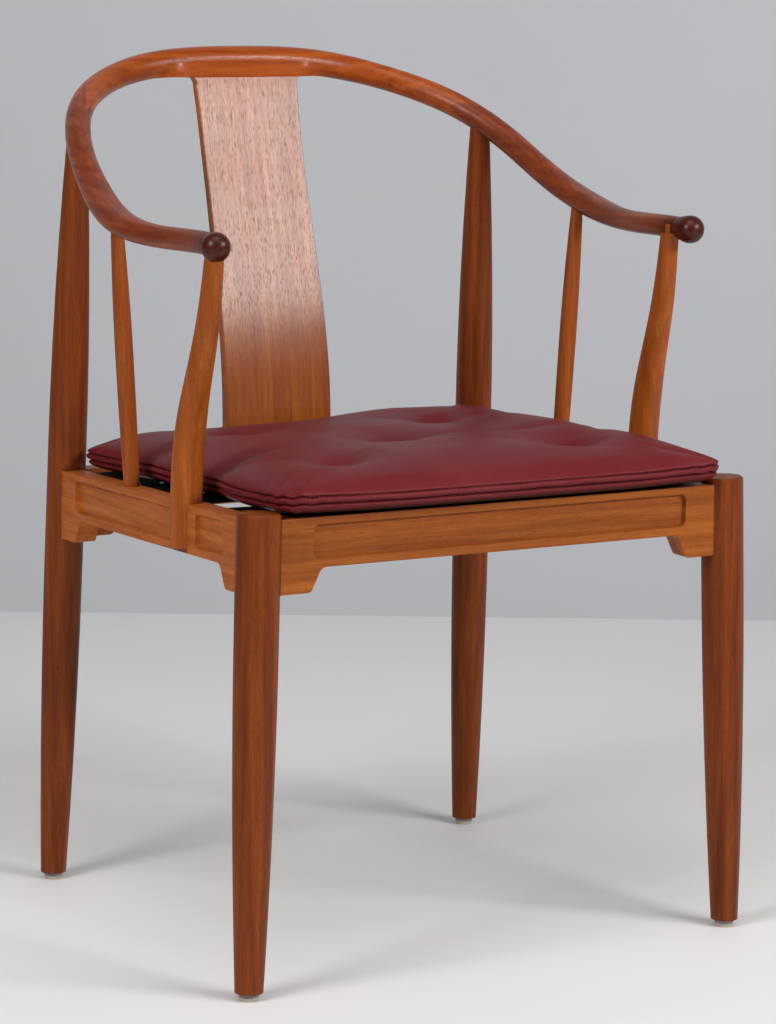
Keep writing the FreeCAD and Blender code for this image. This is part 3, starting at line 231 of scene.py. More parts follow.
# %% Lamps and surround
LAMP_AIM = Vector((0, 0, 0.45))
SURROUND = (0.62, 0.63, 0.65)
SURROUND_STRENGTH = 0.14
SEEN_SURROUND = (0.44, 0.445, 0.46)
LAMPS = {
    # name: direction towards the lamp, distance, width, height, power in watts
    "left_lamp": (Vector((-0.97, -0.30, 0.58)), 2.8, 0.9, 0.9, 36.0),
    "right_lamp": (Vector((0.46, -0.89, 0.50)), 3.0, 1.5, 0.7, 62.0),
    "top_lamp": (Vector((-0.20, -0.35, 1.0)), 3.0, 2.0, 2.0, 30.0),
}


def soft_lamp(name, way, distance, width, height, power):
    """A sheet of light that faces the seat."""
    lamp = bpy.data.lights.new(name, "AREA")
    lamp.shape = "RECTANGLE"
    lamp.size = width
    lamp.size_y = height
    lamp.energy = power
    holder = bpy.data.objects.new(name, lamp)
    bpy.context.scene.collection.objects.link(holder)
    way = way.normalized()
    holder.location = LAMP_AIM + way * distance
    holder.rotation_euler = way.to_track_quat("Z", "Y").to_euler()


for lamp_name, lamp_values in LAMPS.items():
    soft_lamp(lamp_name, *lamp_values)

world = bpy.data.worlds.new("surround")
bpy.context.scene.world = world
world.use_nodes = True
tree = world.node_tree
rays = wire(tree, "ShaderNodeLightPath").outputs["Is Camera Ray"]
lit = wire(tree, "ShaderNodeBackground", {"Color": (*SURROUND, 1), "Strength": SURROUND_STRENGTH})
seen = wire(tree, "ShaderNodeBackground", {"Color": (*SEEN_SURROUND, 1), "Strength": 1.0})
mixed = wire(tree, "ShaderNodeMixShader", {0: rays, 1: lit.outputs[0], 2: seen.outputs[0]})
tree.links.new(mixed.outputs[0], tree.nodes["World Output"].inputs["Surface"])
bpy.context.scene.view_settings.view_transform = "Standard"
print(len(LAMPS), "lamps")

# %% [markdown]
# ## Wood
#
# The frame is one kind of reddish hardwood under a satin lacquer. Seen close up it has four scales of
# detail: broad bands from the growth rings, long streaks a few millimetres wide, fine fibre, and short
# dark pores. Each is noise stretched along the grain, so one recipe serves every piece, and only the
# way of the grain and the tone change. The patterns read Object coordinates in metres, so they run
# through the solid wood as they do in life: a ball turned on the end of a board shows end grain without
# being told to. Only the splat is different. It is a bent board, so its pattern is stretched through
# its thickness too and follows its face.

# %% The wood recipe
GRAIN_AXES = {"X": (1, 0, 0), "Y": (0, 1, 0), "Z": (0, 0, 1)}
FACE_SHARE = 0.06
# each pattern's length along the grain and width across it
RING_SIZE = (0.62, 0.047)
BAND_SIZE = (0.30, 0.030)
STREAK_SIZE = (0.16, 0.0052)
FIBRE_SIZE = (0.030, 0.0011)
PORE_SIZE = (0.0065, 0.00042)
BAND_SHARE, FIBRE_SHARE = 0.55, 0.60
PORE_EDGE = (0.60, 0.70)
PORE_DARKNESS, SEAM_DARKNESS = 0.35, 0.16
PORE_DULLNESS = 0.10
FIBRE_RELIEF, GRAIN_RELIEF = 0.35, 0.00025


def stretched(tree, place, grain, long, wide, shift=0.0):
    """Coordinates drawn out along the grain; a second letter names the way a board's face looks."""
    scale = [1 / long if share else 1 / wide for share in GRAIN_AXES[grain[0]]]
    if grain[1:]:
        face = "XYZ".index(grain[1])
        scale[face] *= FACE_SHARE
    return wire(tree, "ShaderNodeMapping", {
        "Vector": place, "Scale": scale, "Location": (shift, shift * 1.7, shift * 0.6),
    }).outputs["Vector"]


def streaks(tree, place, grain, size, shift, detail=4.0, twist=0.0):
    """Noise drawn out along the grain."""
    coordinates = stretched(tree, place, grain, *size, shift)
    return wire(tree, "ShaderNodeTexNoise", {
        "Vector": coordinates, "Scale": 1.0, "Detail": detail, "Roughness": 0.55, "Distortion": twist,
    }).outputs["Fac"]


def rings(tree, place, grain, shift):
    """Growth rings: bands across the grain, bent by slow noise."""
    coordinates = stretched(tree, place, grain, *RING_SIZE, shift)
    return wire(tree, "ShaderNodeTexWave", {
        "Vector": coordinates, "Scale": 0.9, "Distortion": 5.5, "Detail": 2.5, "Detail Scale": 0.9,
        "Detail Roughness": 0.55,
    }, wave_type="RINGS", rings_direction=grain[0], wave_profile="SIN").outputs["Fac"]


def near_axis(tree, place, foot, top, radius, width):
    """1 at a round piece's surface, falling to 0 at a width from it; left and right are alike."""
    split = wire(tree, "ShaderNodeSeparateXYZ", {0: place})
    sided = reckoned(tree, "ABSOLUTE", split.outputs[0])
    point = wire(tree, "ShaderNodeCombineXYZ", {
        0: sided, 1: split.outputs[1], 2: split.outputs[2],
    }).outputs[0]
    aside = wire(tree, "ShaderNodeVectorMath", {0: point, 1: foot}, operation="SUBTRACT").outputs[0]
    way = (Vector(top) - Vector(foot)).normalized()
    across = wire(tree, "ShaderNodeVectorMath", {0: aside, 1: way}, operation="CROSS_PRODUCT").outputs[0]
    distance = wire(tree, "ShaderNodeVectorMath", {0: across}, operation="LENGTH").outputs["Value"]
    return fitted(tree, distance, radius, radius + width, 1.0, 0.0, smooth=True)


def wood(name, grain, dark, middle, light, shift=0.0, roughness=(0.34, 0.46), pores=0.55, bands=0.22,
         seams=(), seam_depth=0.65, gleam=0.2, handled=None):
    """Lacquered wood whose grain runs along one axis; gleam is how strongly the lacquer mirrors."""
    material, tree, shader = new_material(name)
    place = object_place(tree)
    broad = streaks(tree, place, grain, BAND_SIZE, shift, 3.0, 0.6)
    long = streaks(tree, place, grain, STREAK_SIZE, shift + 3.0, 5.0)
    fibre = streaks(tree, place, grain, FIBRE_SIZE, shift + 7.0, 4.0)
    pore = streaks(tree, place, grain, PORE_SIZE, shift + 11.0, 1.0)
    tone = ramp(tree, long, [(0.26, dark), (0.50, middle), (0.74, light)])
    ring_tone = ramp(tree, rings(tree, place, grain, shift), [(0.0, dark), (0.6, middle), (1.0, light)])
    tone = blended(tree, bands, tone, ring_tone)
    for pattern, share, low, high in ((broad, BAND_SHARE, 0.74, 1.18), (fibre, FIBRE_SHARE, 0.72, 1.22)):
        shade = ramp(tree, pattern, [(0.3, (low,) * 3), (0.7, (high,) * 3)])
        tone = blended(tree, share, tone, shade, "MULTIPLY")
    pore_mask = fitted(tree, pore, *PORE_EDGE)
    pore_tone = tuple(PORE_DARKNESS * channel for channel in dark)
    tone = blended(tree, reckoned(tree, "MULTIPLY", pore_mask, pores), tone, pore_tone)
    for foot, top, radius, width in seams:
        mask = near_axis(tree, place, foot, top, radius, width)
        share = reckoned(tree, "MULTIPLY", mask, seam_depth)
        tone = blended(tree, share, tone, tuple(SEAM_DARKNESS * channel for channel in dark))
    if handled:
        forward = wire(tree, "ShaderNodeSeparateXYZ", {0: place}).outputs[1]
        mask = fitted(tree, forward, *handled, 1.0, 0.0, smooth=True)
        tone = blended(tree, mask, tone, HANDLED_TONE, "MULTIPLY")
    tree.links.new(tone, shader.inputs["Base Color"])
    gloss = fitted(tree, long, 0.25, 0.75, roughness[1], roughness[0])
    gloss = reckoned(tree, "ADD", gloss, reckoned(tree, "MULTIPLY", pore_mask, PORE_DULLNESS))
    tree.links.new(gloss, shader.inputs["Roughness"])
    shader.inputs["Specular IOR Level"].default_value = gleam
    relief = reckoned(tree, "SUBTRACT", reckoned(tree, "MULTIPLY", fibre, FIBRE_RELIEF), pore_mask)
    bump = wire(tree, "ShaderNodeBump", {"Height": relief, "Strength": 0.22, "Distance": GRAIN_RELIEF})
    tree.links.new(bump.outputs["Normal"], shader.inputs["Normal"])
    return material


print("wood recipe ready")

# %% [markdown]
# The legs are darker and redder than the rails. The splat shows fine pores and long upright streaks,
# and mirrors the lamps the most. The horseshoe is the reddest piece. Its middle is a board with the
# grain across the chair and its arms are boards with the grain running forward, so the fingers where
# they meet show as light and dark wedges. Hands have darkened the balls at the ends of the arms. Where
# a rail meets a round leg or post, lacquer and dust gather in a thin dark line. The rails are darkened
# within a millimetre of the round piece, measured from its axis.

# %% Woods
FRONT_FOOT, FRONT_TOP = (0.2570, -0.2555, 0.0), (0.2456, -0.2480, 0.435)
REAR_FOOT, REAR_TOP = (0.2396, 0.1975, 0.0), (0.2257, 0.1643, 0.750)
POST_FOOT, POST_TOP = (0.2475, -0.1115, 0.38), (0.2475, -0.1115, 0.45)
FRONT_LEG_RADIUS = 0.020
REAR_LEG_RADIUS = 0.0187
POST_RADIUS = 0.0145
SEAM_WIDTH = 0.0011
front_seam = (FRONT_FOOT, FRONT_TOP, FRONT_LEG_RADIUS, SEAM_WIDTH)
rear_seam = (REAR_FOOT, REAR_TOP, REAR_LEG_RADIUS, SEAM_WIDTH)
post_seam = (POST_FOOT, POST_TOP, POST_RADIUS, SEAM_WIDTH)
FRONT_RAIL_TONES = ((0.23, 0.050, 0.006), (0.32, 0.079, 0.009), (0.40, 0.116, 0.016))
RAIL_TONES = ((0.29, 0.063, 0.007), (0.41, 0.101, 0.012), (0.50, 0.146, 0.020))
LEG_TONES = ((0.100, 0.016, 0.002), (0.185, 0.036, 0.004), (0.27, 0.062, 0.008))
POST_TONES = ((0.24, 0.048, 0.004), (0.34, 0.078, 0.008), (0.44, 0.120, 0.015))
SPINDLE_TONES = ((0.19, 0.036, 0.004), (0.28, 0.060, 0.007), (0.37, 0.094, 0.012))
SPLAT_TONES = ((0.20, 0.039, 0.003), (0.30, 0.071, 0.007), (0.40, 0.110, 0.013))
CREST_TONES = ((0.22, 0.034, 0.003), (0.34, 0.060, 0.005), (0.44, 0.096, 0.010))
ARM_TONES = ((0.11, 0.016, 0.004), (0.20, 0.034, 0.008), (0.30, 0.062, 0.016))
HANDLED_TONE = (0.30, 0.20, 0.22)
HANDLED_FROM, HANDLED_TO = -0.178, -0.120

wood_front_rail = wood("wood_front_rail", "X", *FRONT_RAIL_TONES, shift=1.3, seams=[front_seam])
wood_rear_rail = wood("wood_rear_rail", "X", *RAIL_TONES, shift=4.1, seams=[rear_seam])
wood_side_rail = wood("wood_side_rail", "Y", *RAIL_TONES, shift=2.2,
                      seams=[front_seam, rear_seam, post_seam])
wood_leg = wood("wood_leg", "Z", *LEG_TONES, shift=0.4, roughness=(0.38, 0.48), gleam=0.18)
wood_post = wood("wood_post", "Z", *POST_TONES, shift=6.4, roughness=(0.34, 0.44), gleam=0.22)
wood_spindle = wood("wood_spindle", "Z", *SPINDLE_TONES, shift=8.9, roughness=(0.34, 0.44), gleam=0.22)
wood_splat = wood("wood_splat", "ZY", *SPLAT_TONES, shift=5.2, roughness=(0.25, 0.30), pores=0.45,
                  bands=0.15, gleam=0.42)
wood_crest = wood("wood_crest", "X", *CREST_TONES, shift=3.3, roughness=(0.24, 0.34), gleam=0.28)
wood_arm = wood("wood_arm", "Y", *ARM_TONES, shift=7.7, roughness=(0.24, 0.34), gleam=0.28,
                handled=(HANDLED_FROM, HANDLED_TO))

WOOD_OF = {
    "crest_rail": wood_crest, "left_arm_rail": wood_arm, "right_arm_rail": wood_arm,
    "back_splat": wood_splat,
    "front_seat_rail": wood_front_rail, "rear_seat_rail": wood_rear_rail,
    "left_seat_rail": wood_side_rail, "right_seat_rail": wood_side_rail,
    "front_left_leg": wood_leg, "front_right_leg": wood_leg, "rear_left_leg": wood_leg,
    "rear_right_leg": wood_leg, "left_arm_post": wood_post, "right_arm_post": wood_post,
    "left_arm_spindle": wood_spindle, "right_arm_spindle": wood_spindle,
}
for name, material in WOOD_OF.items():
    dressed(nodes[name], material)
print(len(WOOD_OF), "pieces of wood")

# %% [markdown]
# ## Webbing, tacks, glides and felt
#
# Under the cushion a lattice of black elastic webbing is tacked inside the rails. Its weave is a fine
# basket of two crossed sets of ribs. Threads would be heavy and no wider than a hair, so the ribs are
# waves that drive a bump, which looks the same from a hand's width away. The tacks are blued steel, and
# each leg stands on a grey plastic glide with a beige felt pad.

# %% Small materials
RIB_SCALE = 330.0
DUST_TONE = (0.035, 0.032, 0.030)


def webbing_material():
    """Black woven webbing with a little dust."""
    material, tree, shader = new_material("webbing_black", 0.78)
    place = object_place(tree)
    warp, weft = (
        wire(tree, "ShaderNodeTexWave", {"Vector": place, "Scale": RIB_SCALE, "Distortion": 0.6},
             wave_type="BANDS", bands_direction=way).outputs["Fac"]
        for way in "XY"
    )
    weave = reckoned(tree, "MULTIPLY", warp, weft)
    dust = wire(tree, "ShaderNodeTexNoise", {"Vector": place, "Scale": 60.0, "Detail": 5.0})
    tone = ramp(tree, weave, [(0.0, (0.004, 0.004, 0.004)), (1.0, (0.018, 0.018, 0.019))])
    tone = blended(tree, fitted(tree, dust.outputs["Fac"], 0.55, 0.85, 0.0, 0.35), tone, DUST_TONE)
    tree.links.new(tone, shader.inputs["Base Color"])
    bump = wire(tree, "ShaderNodeBump", {"Height": weave, "Strength": 0.6, "Distance": 0.0005})
    tree.links.new(bump.outputs["Normal"], shader.inputs["Normal"])
    shader.inputs["Specular IOR Level"].default_value = 0.08
    return material


def speckled(name, dark, light, scale, roughness, depth, metallic=0.0, sheen=0.0):
    """A plain finish with fine grain: plastic, felt, thread, lining or blued steel."""
    material, tree, shader = new_material(name, roughness)
    place = object_place(tree)
    grain = wire(tree, "ShaderNodeTexNoise", {"Vector": place, "Scale": scale, "Detail": 6.0,
                                              "Roughness": 0.65}).outputs["Fac"]
    tree.links.new(ramp(tree, grain, [(0.32, dark), (0.68, light)]), shader.inputs["Base Color"])
    bump = wire(tree, "ShaderNodeBump", {"Height": grain, "Strength": 0.5, "Distance": depth})
    tree.links.new(bump.outputs["Normal"], shader.inputs["Normal"])
    shader.inputs["Metallic"].default_value = metallic
    shader.inputs["Sheen Weight"].default_value = sheen
    return material


webbing = webbing_material()
steel = speckled("tack_blued_steel", (0.18, 0.19, 0.21), (0.42, 0.43, 0.46),
                 scale=900.0, roughness=0.34, depth=0.00005, metallic=1.0)
plastic = speckled("glide_grey_plastic", (0.20, 0.20, 0.205), (0.27, 0.27, 0.275),
                   scale=700.0, roughness=0.5, depth=0.00008)
felt = speckled("felt_beige", (0.34, 0.29, 0.22), (0.56, 0.50, 0.40),
                scale=1500.0, roughness=0.95, depth=0.0004, sheen=0.4)
for name, piece in nodes.items():
    if "strap" in name:
        dressed(piece, webbing)
    elif name == "webbing_tacks":
        dressed(piece, steel)
    elif name.endswith("glide"):
        dressed(piece, plastic)
    elif name.endswith("felt_pad"):
        dressed(piece, felt)
print("webbing, tacks, glides and felt dressed")

# %% [markdown]
# ## The cushion's outline
#
# The cushion is cut to the seat: nearly square, with a soft notch at each arm post and spindle, so that
# the cover swells in three lobes along each side. It could be drawn as one spline, but an arc through
# three points says what each stretch does, and the solid of the cushion is drawn that way too. Points
# are complex numbers: the real part runs across the chair, and the imaginary part runs back from the
# front rail's middle.

# %% Outline in the seat's plane
SEAT_ORIGIN = Vector((0, -0.2485, 0.4294))
SEAT_RAKE = math.radians(1.92)
CUSHION_FRONT, CUSHION_BACK = -0.027, 0.408
FRONT_HALF, LOBE_HALF, NOTCH_HALF, BACK_HALF = 0.236, 0.2255, 0.2185, 0.226
CORNER, BACK_CORNER, FRONT_BOW = 0.020, 0.010, 0.003
POST_AT, SPINDLE_AT = 0.137, 0.270
CUSHION_CENTRE = complex(0, 0.1895)
NOTCH_FADE, CALMEST_NOTCH = 0.044, 0.15
FLARE_SHARE, FRONT_LOBE_SHARE, BACK_LOBE_SHARE = 0.35, 0.54, 0.5
CORNER_COUNT, LOBE_COUNT, ENDS_COUNT = 10, 26, 56


def arc(first, middle, last, count):
    """Points along the arc through three points, without the last one."""
    lean = (last - first) / (middle - first)
    centre = first + (middle - first) * (lean - abs(lean) ** 2) / (2j * lean.imag)
    sweep = np.angle((last - centre) / (first - centre))
    return centre + (first - centre) * np.exp(1j * sweep * np.arange(count) / count)


def cushion_ring(inset):
    """The cushion's outline drawn in by a distance, as a closed ring that starts at the front left."""
    front, back = CUSHION_FRONT + inset, CUSHION_BACK - inset
    front_half, lobe, back_half = FRONT_HALF - inset, LOBE_HALF - inset, BACK_HALF - inset
    calm = max(CALMEST_NOTCH, 1 - inset / NOTCH_FADE)
    notch = lobe + (NOTCH_HALF - LOBE_HALF) * calm
    round_share = 1 - math.sqrt(0.5)
    bend, back_bend = CORNER * round_share, BACK_CORNER * round_share
    front_flare = (1 - FLARE_SHARE) * front_half + FLARE_SHARE * lobe
    back_flare = (1 - FLARE_SHARE) * lobe + FLARE_SHARE * back_half
    side = [
        complex(front_half - CORNER, front), complex(front_half - bend, front + bend),
        complex(front_half, front + CORNER),
        complex(front_flare, front + CORNER + FRONT_LOBE_SHARE * (POST_AT - front - CORNER)),
        complex(notch, POST_AT), complex(lobe, (POST_AT + SPINDLE_AT) / 2), complex(notch, SPINDLE_AT),
        complex(back_flare, SPINDLE_AT + BACK_LOBE_SHARE * (back - BACK_CORNER - SPINDLE_AT)),
        complex(back_half, back - BACK_CORNER), complex(back_half - back_bend, back - back_bend),
        complex(back_half - BACK_CORNER, back),
    ]
    other = [-point.conjugate() for point in reversed(side)]
    counts = [CORNER_COUNT, LOBE_COUNT, LOBE_COUNT, LOBE_COUNT, CORNER_COUNT]
    pieces = [arc(other[-1], complex(0, front - FRONT_BOW), side[0], ENDS_COUNT)]
    pieces += [arc(*side[2 * i:2 * i + 3], count) for i, count in enumerate(counts)]
    pieces.append(side[-1] + (other[0] - side[-1]) * np.arange(ENDS_COUNT) / ENDS_COUNT)
    pieces += [arc(*other[2 * i:2 * i + 3], count) for i, count in enumerate(reversed(counts))]
    return np.concatenate(pieces)


def seat_to_world(points, heights):
    """Turns places in the seat's sloping plane, with a height over it, into places in the room."""
    x, back = points.real, points.imag
    y = back * math.cos(SEAT_RAKE) + heights * math.sin(SEAT_RAKE)
    z = heights * math.cos(SEAT_RAKE) - back * math.sin(SEAT_RAKE)
    return np.stack([x, y, z], 1) + np.array(SEAT_ORIGIN)


print("outline of", len(cushion_ring(0)), "points")

# %% [markdown]
# ## The cushion's cover
#
# Upholsterers cut a top and a bottom cover and sew them together with a welt between them. Seen in
# section from below, the cover runs flat on the webbing, turns up in a thin roll, goes into the groove
# that holds the welt, comes out again in the upper roll, and then rises slowly to the crown. That
# section is a list of insets and heights, carried around the outline ring by ring. On top the five
# tufts pull dimples, and soft valleys run from them to the notches. The cushion has been sat on: its
# filling has moved to the right, its front corners ride up on the tops of the legs, and the seam
# puckers there.

# %% Shape of the cover
SECTION_MM = [
    # inset from the outline, height over the seat
    (60.0, 0.3), (40.0, 0.3), (27.0, 0.5), (20.0, 1.2), (15.0, 2.2), (11.5, 3.2), (8.6, 4.3),
    (6.2, 5.6), (4.4, 7.0), (3.4, 8.4), (3.4, 9.6), (4.6, 10.7), (6.4, 11.5), (7.0, 13.0), (7.0, 16.0),
    (5.4, 17.5), (3.0, 18.3), (1.7, 19.3), (2.9, 20.8), (5.4, 22.5), (8.6, 24.3), (12.6, 26.2),
    (17.4, 28.1), (23.0, 29.9), (29.4, 31.7), (36.6, 33.5), (44.6, 35.2), (53.4, 36.7), (62.4, 38.0),
    (71.4, 39.1), (80.4, 39.9), (89.4, 40.4),
]
FIRST_TOP_ROW = 16
TOP_FADE_MM = 12.0
CENTRE_RINGS, CENTRE_GAP = 22, 0.6
UNDERSIDE_RINGS = 5
TUFTS_MM = [(-5, 186), (121, 70), (-135, 62), (116, 300), (-109, 304)]
VALLEYS_MM = [
    # from a notch to a tuft
    ((219, 137), (-5, 186)), ((-219, 137), (-5, 186)),
    ((219, 137), (121, 70)), ((-219, 137), (-135, 62)),
    ((219, 270), (116, 300)), ((-219, 270), (-109, 304)),
]
TUFT_DEPTH, TUFT_REACH = 0.0105, 0.0185
TUFT_PULL, TUFT_PULL_REACH = 0.0038, 0.045
VALLEY_DEPTH, VALLEY_REACH = 0.0046, 0.011
VALLEY_FADE_SHARE = 0.8
SWELL = 0.0010
RIGHT_LIFT = 0.0092
SIDE_ACROSS, SIDE_BACK = (0.115, 0.180), (-0.015, 0.130)
REAR_ACROSS, REAR_BACK = (-0.030, 0.110), (0.290, 0.380)
CORNER_LIFT, CORNER_REACH = 0.0015, 0.075
PUCKER_DEPTH, PUCKER_LENGTH, PUCKER_REACH = 0.0011, 0.021, 0.045
LIFTED_RIM, RIM_FADE = 0.045, 0.030


def line_distance(points, start, end):
    """Distance from points to a straight stretch, and how far along it they lie."""
    run = end - start
    share = np.clip(((points - start) * run.conjugate()).real / abs(run) ** 2, 0, 1)
    return np.abs(points - start - run * share), share


def top_relief(points):
    """How far the top lies above or below its plain crown: swell, dimples and valleys."""
    relief = np.full(len(points), SWELL)
    for x, y in TUFTS_MM:
        apart = np.abs(points - complex(x, y) * MM)
        relief -= TUFT_DEPTH * np.exp(-(apart / TUFT_REACH) ** 2)
        relief -= TUFT_PULL * np.exp(-(apart / TUFT_PULL_REACH) ** 2)
    for start, end in VALLEYS_MM:
        apart, share = line_distance(points, complex(*start) * MM, complex(*end) * MM)
        relief -= VALLEY_DEPTH * (1 - VALLEY_FADE_SHARE * share) * np.exp(-(apart / VALLEY_REACH) ** 2)
    return relief


def eased(values, low, high):
    """0 below the range, 1 above it, and a smooth step between."""
    share = np.clip((values - low) / (high - low), 0, 1)
    return share * share * (3 - 2 * share)


def filling_lift(points):
    """The filling has shifted: the top is fuller along its right side and at its right rear corner."""
    side = eased(points.real, *SIDE_ACROSS) * eased(points.imag, *SIDE_BACK)
    rear = eased(points.real, *REAR_ACROSS) * eased(points.imag, *REAR_BACK)
    return RIGHT_LIFT * np.maximum(side, rear)


def corner_lift(points):
    """The front corners ride up over the tops of the legs, and the seam puckers around them."""
    corner = complex(FRONT_HALF, CUSHION_FRONT)
    folded = np.abs(points.real) + 1j * points.imag
    apart = np.abs(folded - corner)
    along = (folded - corner).real + (folded - corner).imag
    wave = np.sin(2 * math.pi * along / PUCKER_LENGTH)
    pucker = PUCKER_DEPTH * wave * np.exp(-(apart / PUCKER_REACH) ** 2)
    return CORNER_LIFT * np.exp(-(apart / CORNER_REACH) ** 4) + pucker


def cover_rows():
    """Rings of the cover and their heights, from the middle of its underside to that of its top."""
    rows = []
    flat_inset, flat_height = SECTION_MM[0]
    flat = cushion_ring(flat_inset * MM)
    for index in range(UNDERSIDE_RINGS, 0, -1):
        share = 1 - index / (UNDERSIDE_RINGS + 1)
        ring = CUSHION_CENTRE + (flat - CUSHION_CENTRE) * share
        rows.append((ring, np.full(len(ring), flat_height * MM)))
    for row, (inset, height) in enumerate(SECTION_MM):
        ring = cushion_ring(inset * MM)
        rim = min(max((LIFTED_RIM - inset * MM) / RIM_FADE, 0), 1)
        heights = height * MM + rim * corner_lift(ring)
        if row >= FIRST_TOP_ROW:
            fade = min((height - SECTION_MM[FIRST_TOP_ROW][1]) / TOP_FADE_MM, 1.0)
            heights = heights + fade * (top_relief(ring) + filling_lift(ring))
        rows.append((ring, heights))
    ring = cushion_ring(SECTION_MM[-1][0] * MM)
    for index in range(1, CENTRE_RINGS + 1):
        share = 1 - index / (CENTRE_RINGS + CENTRE_GAP)
        points = CUSHION_CENTRE + (ring - CUSHION_CENTRE) * share
        rows.append((points, SECTION_MM[-1][1] * MM + top_relief(points) + filling_lift(points)))
    return rows


rows = cover_rows()
ring_size = len(rows[0][0])
cover_points = np.concatenate([seat_to_world(points, heights) for points, heights in rows])
print(len(rows), "rings of", ring_size)

# %% Mesh of the cover
def ring_mesh(name, points, ring_size):
    """A closed skin through rings of points, with a cap at each end."""
    count = len(points) // ring_size
    faces = []
    for row in range(count - 1):
        for index in range(ring_size):
            following = (index + 1) % ring_size
            low, high = row * ring_size, (row + 1) * ring_size
            faces.append((low + index, low + following, high + following, high + index))
    first_cap, last_cap = len(points), len(points) + 1
    last_row = (count - 1) * ring_size
    for index in range(ring_size):
        following = (index + 1) % ring_size
        faces.append((first_cap, following, index))
        faces.append((last_cap, last_row + index, last_row + following))
    middles = np.array([points[:ring_size].mean(0), points[last_row:].mean(0)])
    mesh = bpy.data.meshes.new(name)
    mesh.from_pydata(np.concatenate([points, middles]).tolist(), [], faces)
    mesh.polygons.foreach_set("use_smooth", [True] * len(mesh.polygons))
    piece = bpy.data.objects.new(name, mesh)
    bpy.context.scene.collection.objects.link(piece)
    return piece


cover = ring_mesh("cushion_cover", cover_points, ring_size)
print(len(cover.data.vertices), "points in the cover")

# %% [markdown]
# ## Stuffing the cover
#
# A drawn surface looks too even to be leather. The cover is blown up a little as cloth, held at its
# stitch lines, on its underside and at the tufts, so that it wrinkles where the threads hold it and
# swells between them. The movement is capped below three millimetres, because the filling of this
# cushion is firm. After the cloth a level of subdivision rounds the skin.

# %% Cloth
PRESSURE = 4.0
CLOTH_MASS, CLOTH_QUALITY = 0.3, 6
LAST_FRAME = 20
MOST_MOVEMENT = 0.0026
TUFT_HELD = 0.006


def held_points():
    """Which points the threads and the seat hold: all but the free leather on top."""
    held = []
    for row, (points, _) in enumerate(rows):
        top = row >= UNDERSIDE_RINGS + FIRST_TOP_ROW + 1
        for point in points:
            at_tuft = min(abs(point - complex(x, y) * MM) for x, y in TUFTS_MM) < TUFT_HELD
            held.append(not top or at_tuft)
    return held + [True, False]


def stuffed(piece, held):
    """Runs the cloth and moves the points, none by more than the cap."""
    group = piece.vertex_groups.new(name="held")
    group.add([index for index, is_held in enumerate(held) if is_held], 1.0, "REPLACE")
    cloth = piece.modifiers.new("cloth", "CLOTH")
    settings = cloth.settings
    settings.vertex_group_mass = "held"
    settings.use_pressure = True
    settings.uniform_pressure_force = PRESSURE
    settings.quality = CLOTH_QUALITY
    settings.mass = CLOTH_MASS
    settings.effector_weights.gravity = 0
    cloth.point_cache.frame_end = LAST_FRAME
    scene = bpy.context.scene
    for number in range(1, LAST_FRAME + 1):
        scene.frame_set(number)
    moved = piece.evaluated_get(bpy.context.evaluated_depsgraph_get()).to_mesh()
    after = np.array([vertex.co for vertex in moved.vertices])
    before = np.array([vertex.co for vertex in piece.data.vertices])
    way = after - before
    far = np.linalg.norm(way, axis=1)
    way *= (np.minimum(far, MOST_MOVEMENT) / np.maximum(far, 1e-9))[:, None]
    piece.modifiers.remove(cloth)
    piece.vertex_groups.remove(group)
    scene.frame_set(1)
    piece.data.vertices.foreach_set("co", (before + way).ravel())
    piece.data.update()
    most, mean = round(float(far.max()) / MM, 1), round(float(far.mean()) / MM, 2)
    print("cloth moved up to", most, "mm, mean", mean)


stuffed(cover, held_points())
refine = cover.modifiers.new("refine", "SUBSURF")
refine.levels = 1
refine.render_levels = 1

# %% [markdown]
# ## Leather
#
# The leather is a semi matt dark red. Up close it has a fine pebble of creased cells, and over the
# years it has worn a little paler in cloudy patches. The pebble is the distance to cell edges of a
# Voronoi pattern, which gives rounded cells between sharp creases. Below the welt the red is painted
# darker down to near black, as painted shade for the shadow over the rails. The flat underside is
# lined with black cloth, as loose cushions often are, and that black also stands in for the shade
# under the cushion.

# %% Leather
PEBBLE_SCALE, PEBBLE_BEND, PEBBLE_RELIEF = 620.0, 0.0016, 0.0003
SEAT_UP = Vector((0, math.sin(SEAT_RAKE), math.cos(SEAT_RAKE)))
# painted shade: up to 3 mm over the seat the leather is painted near black, fading back to red by 8.5 mm
PAINTED_SHADE_FULL_TO, PAINTED_SHADE_GONE_AT = 0.0030, 0.0085
PAINTED_SHADE_TONE = (0.006, 0.003, 0.003)
UNDERSIDE_ROWS = 5


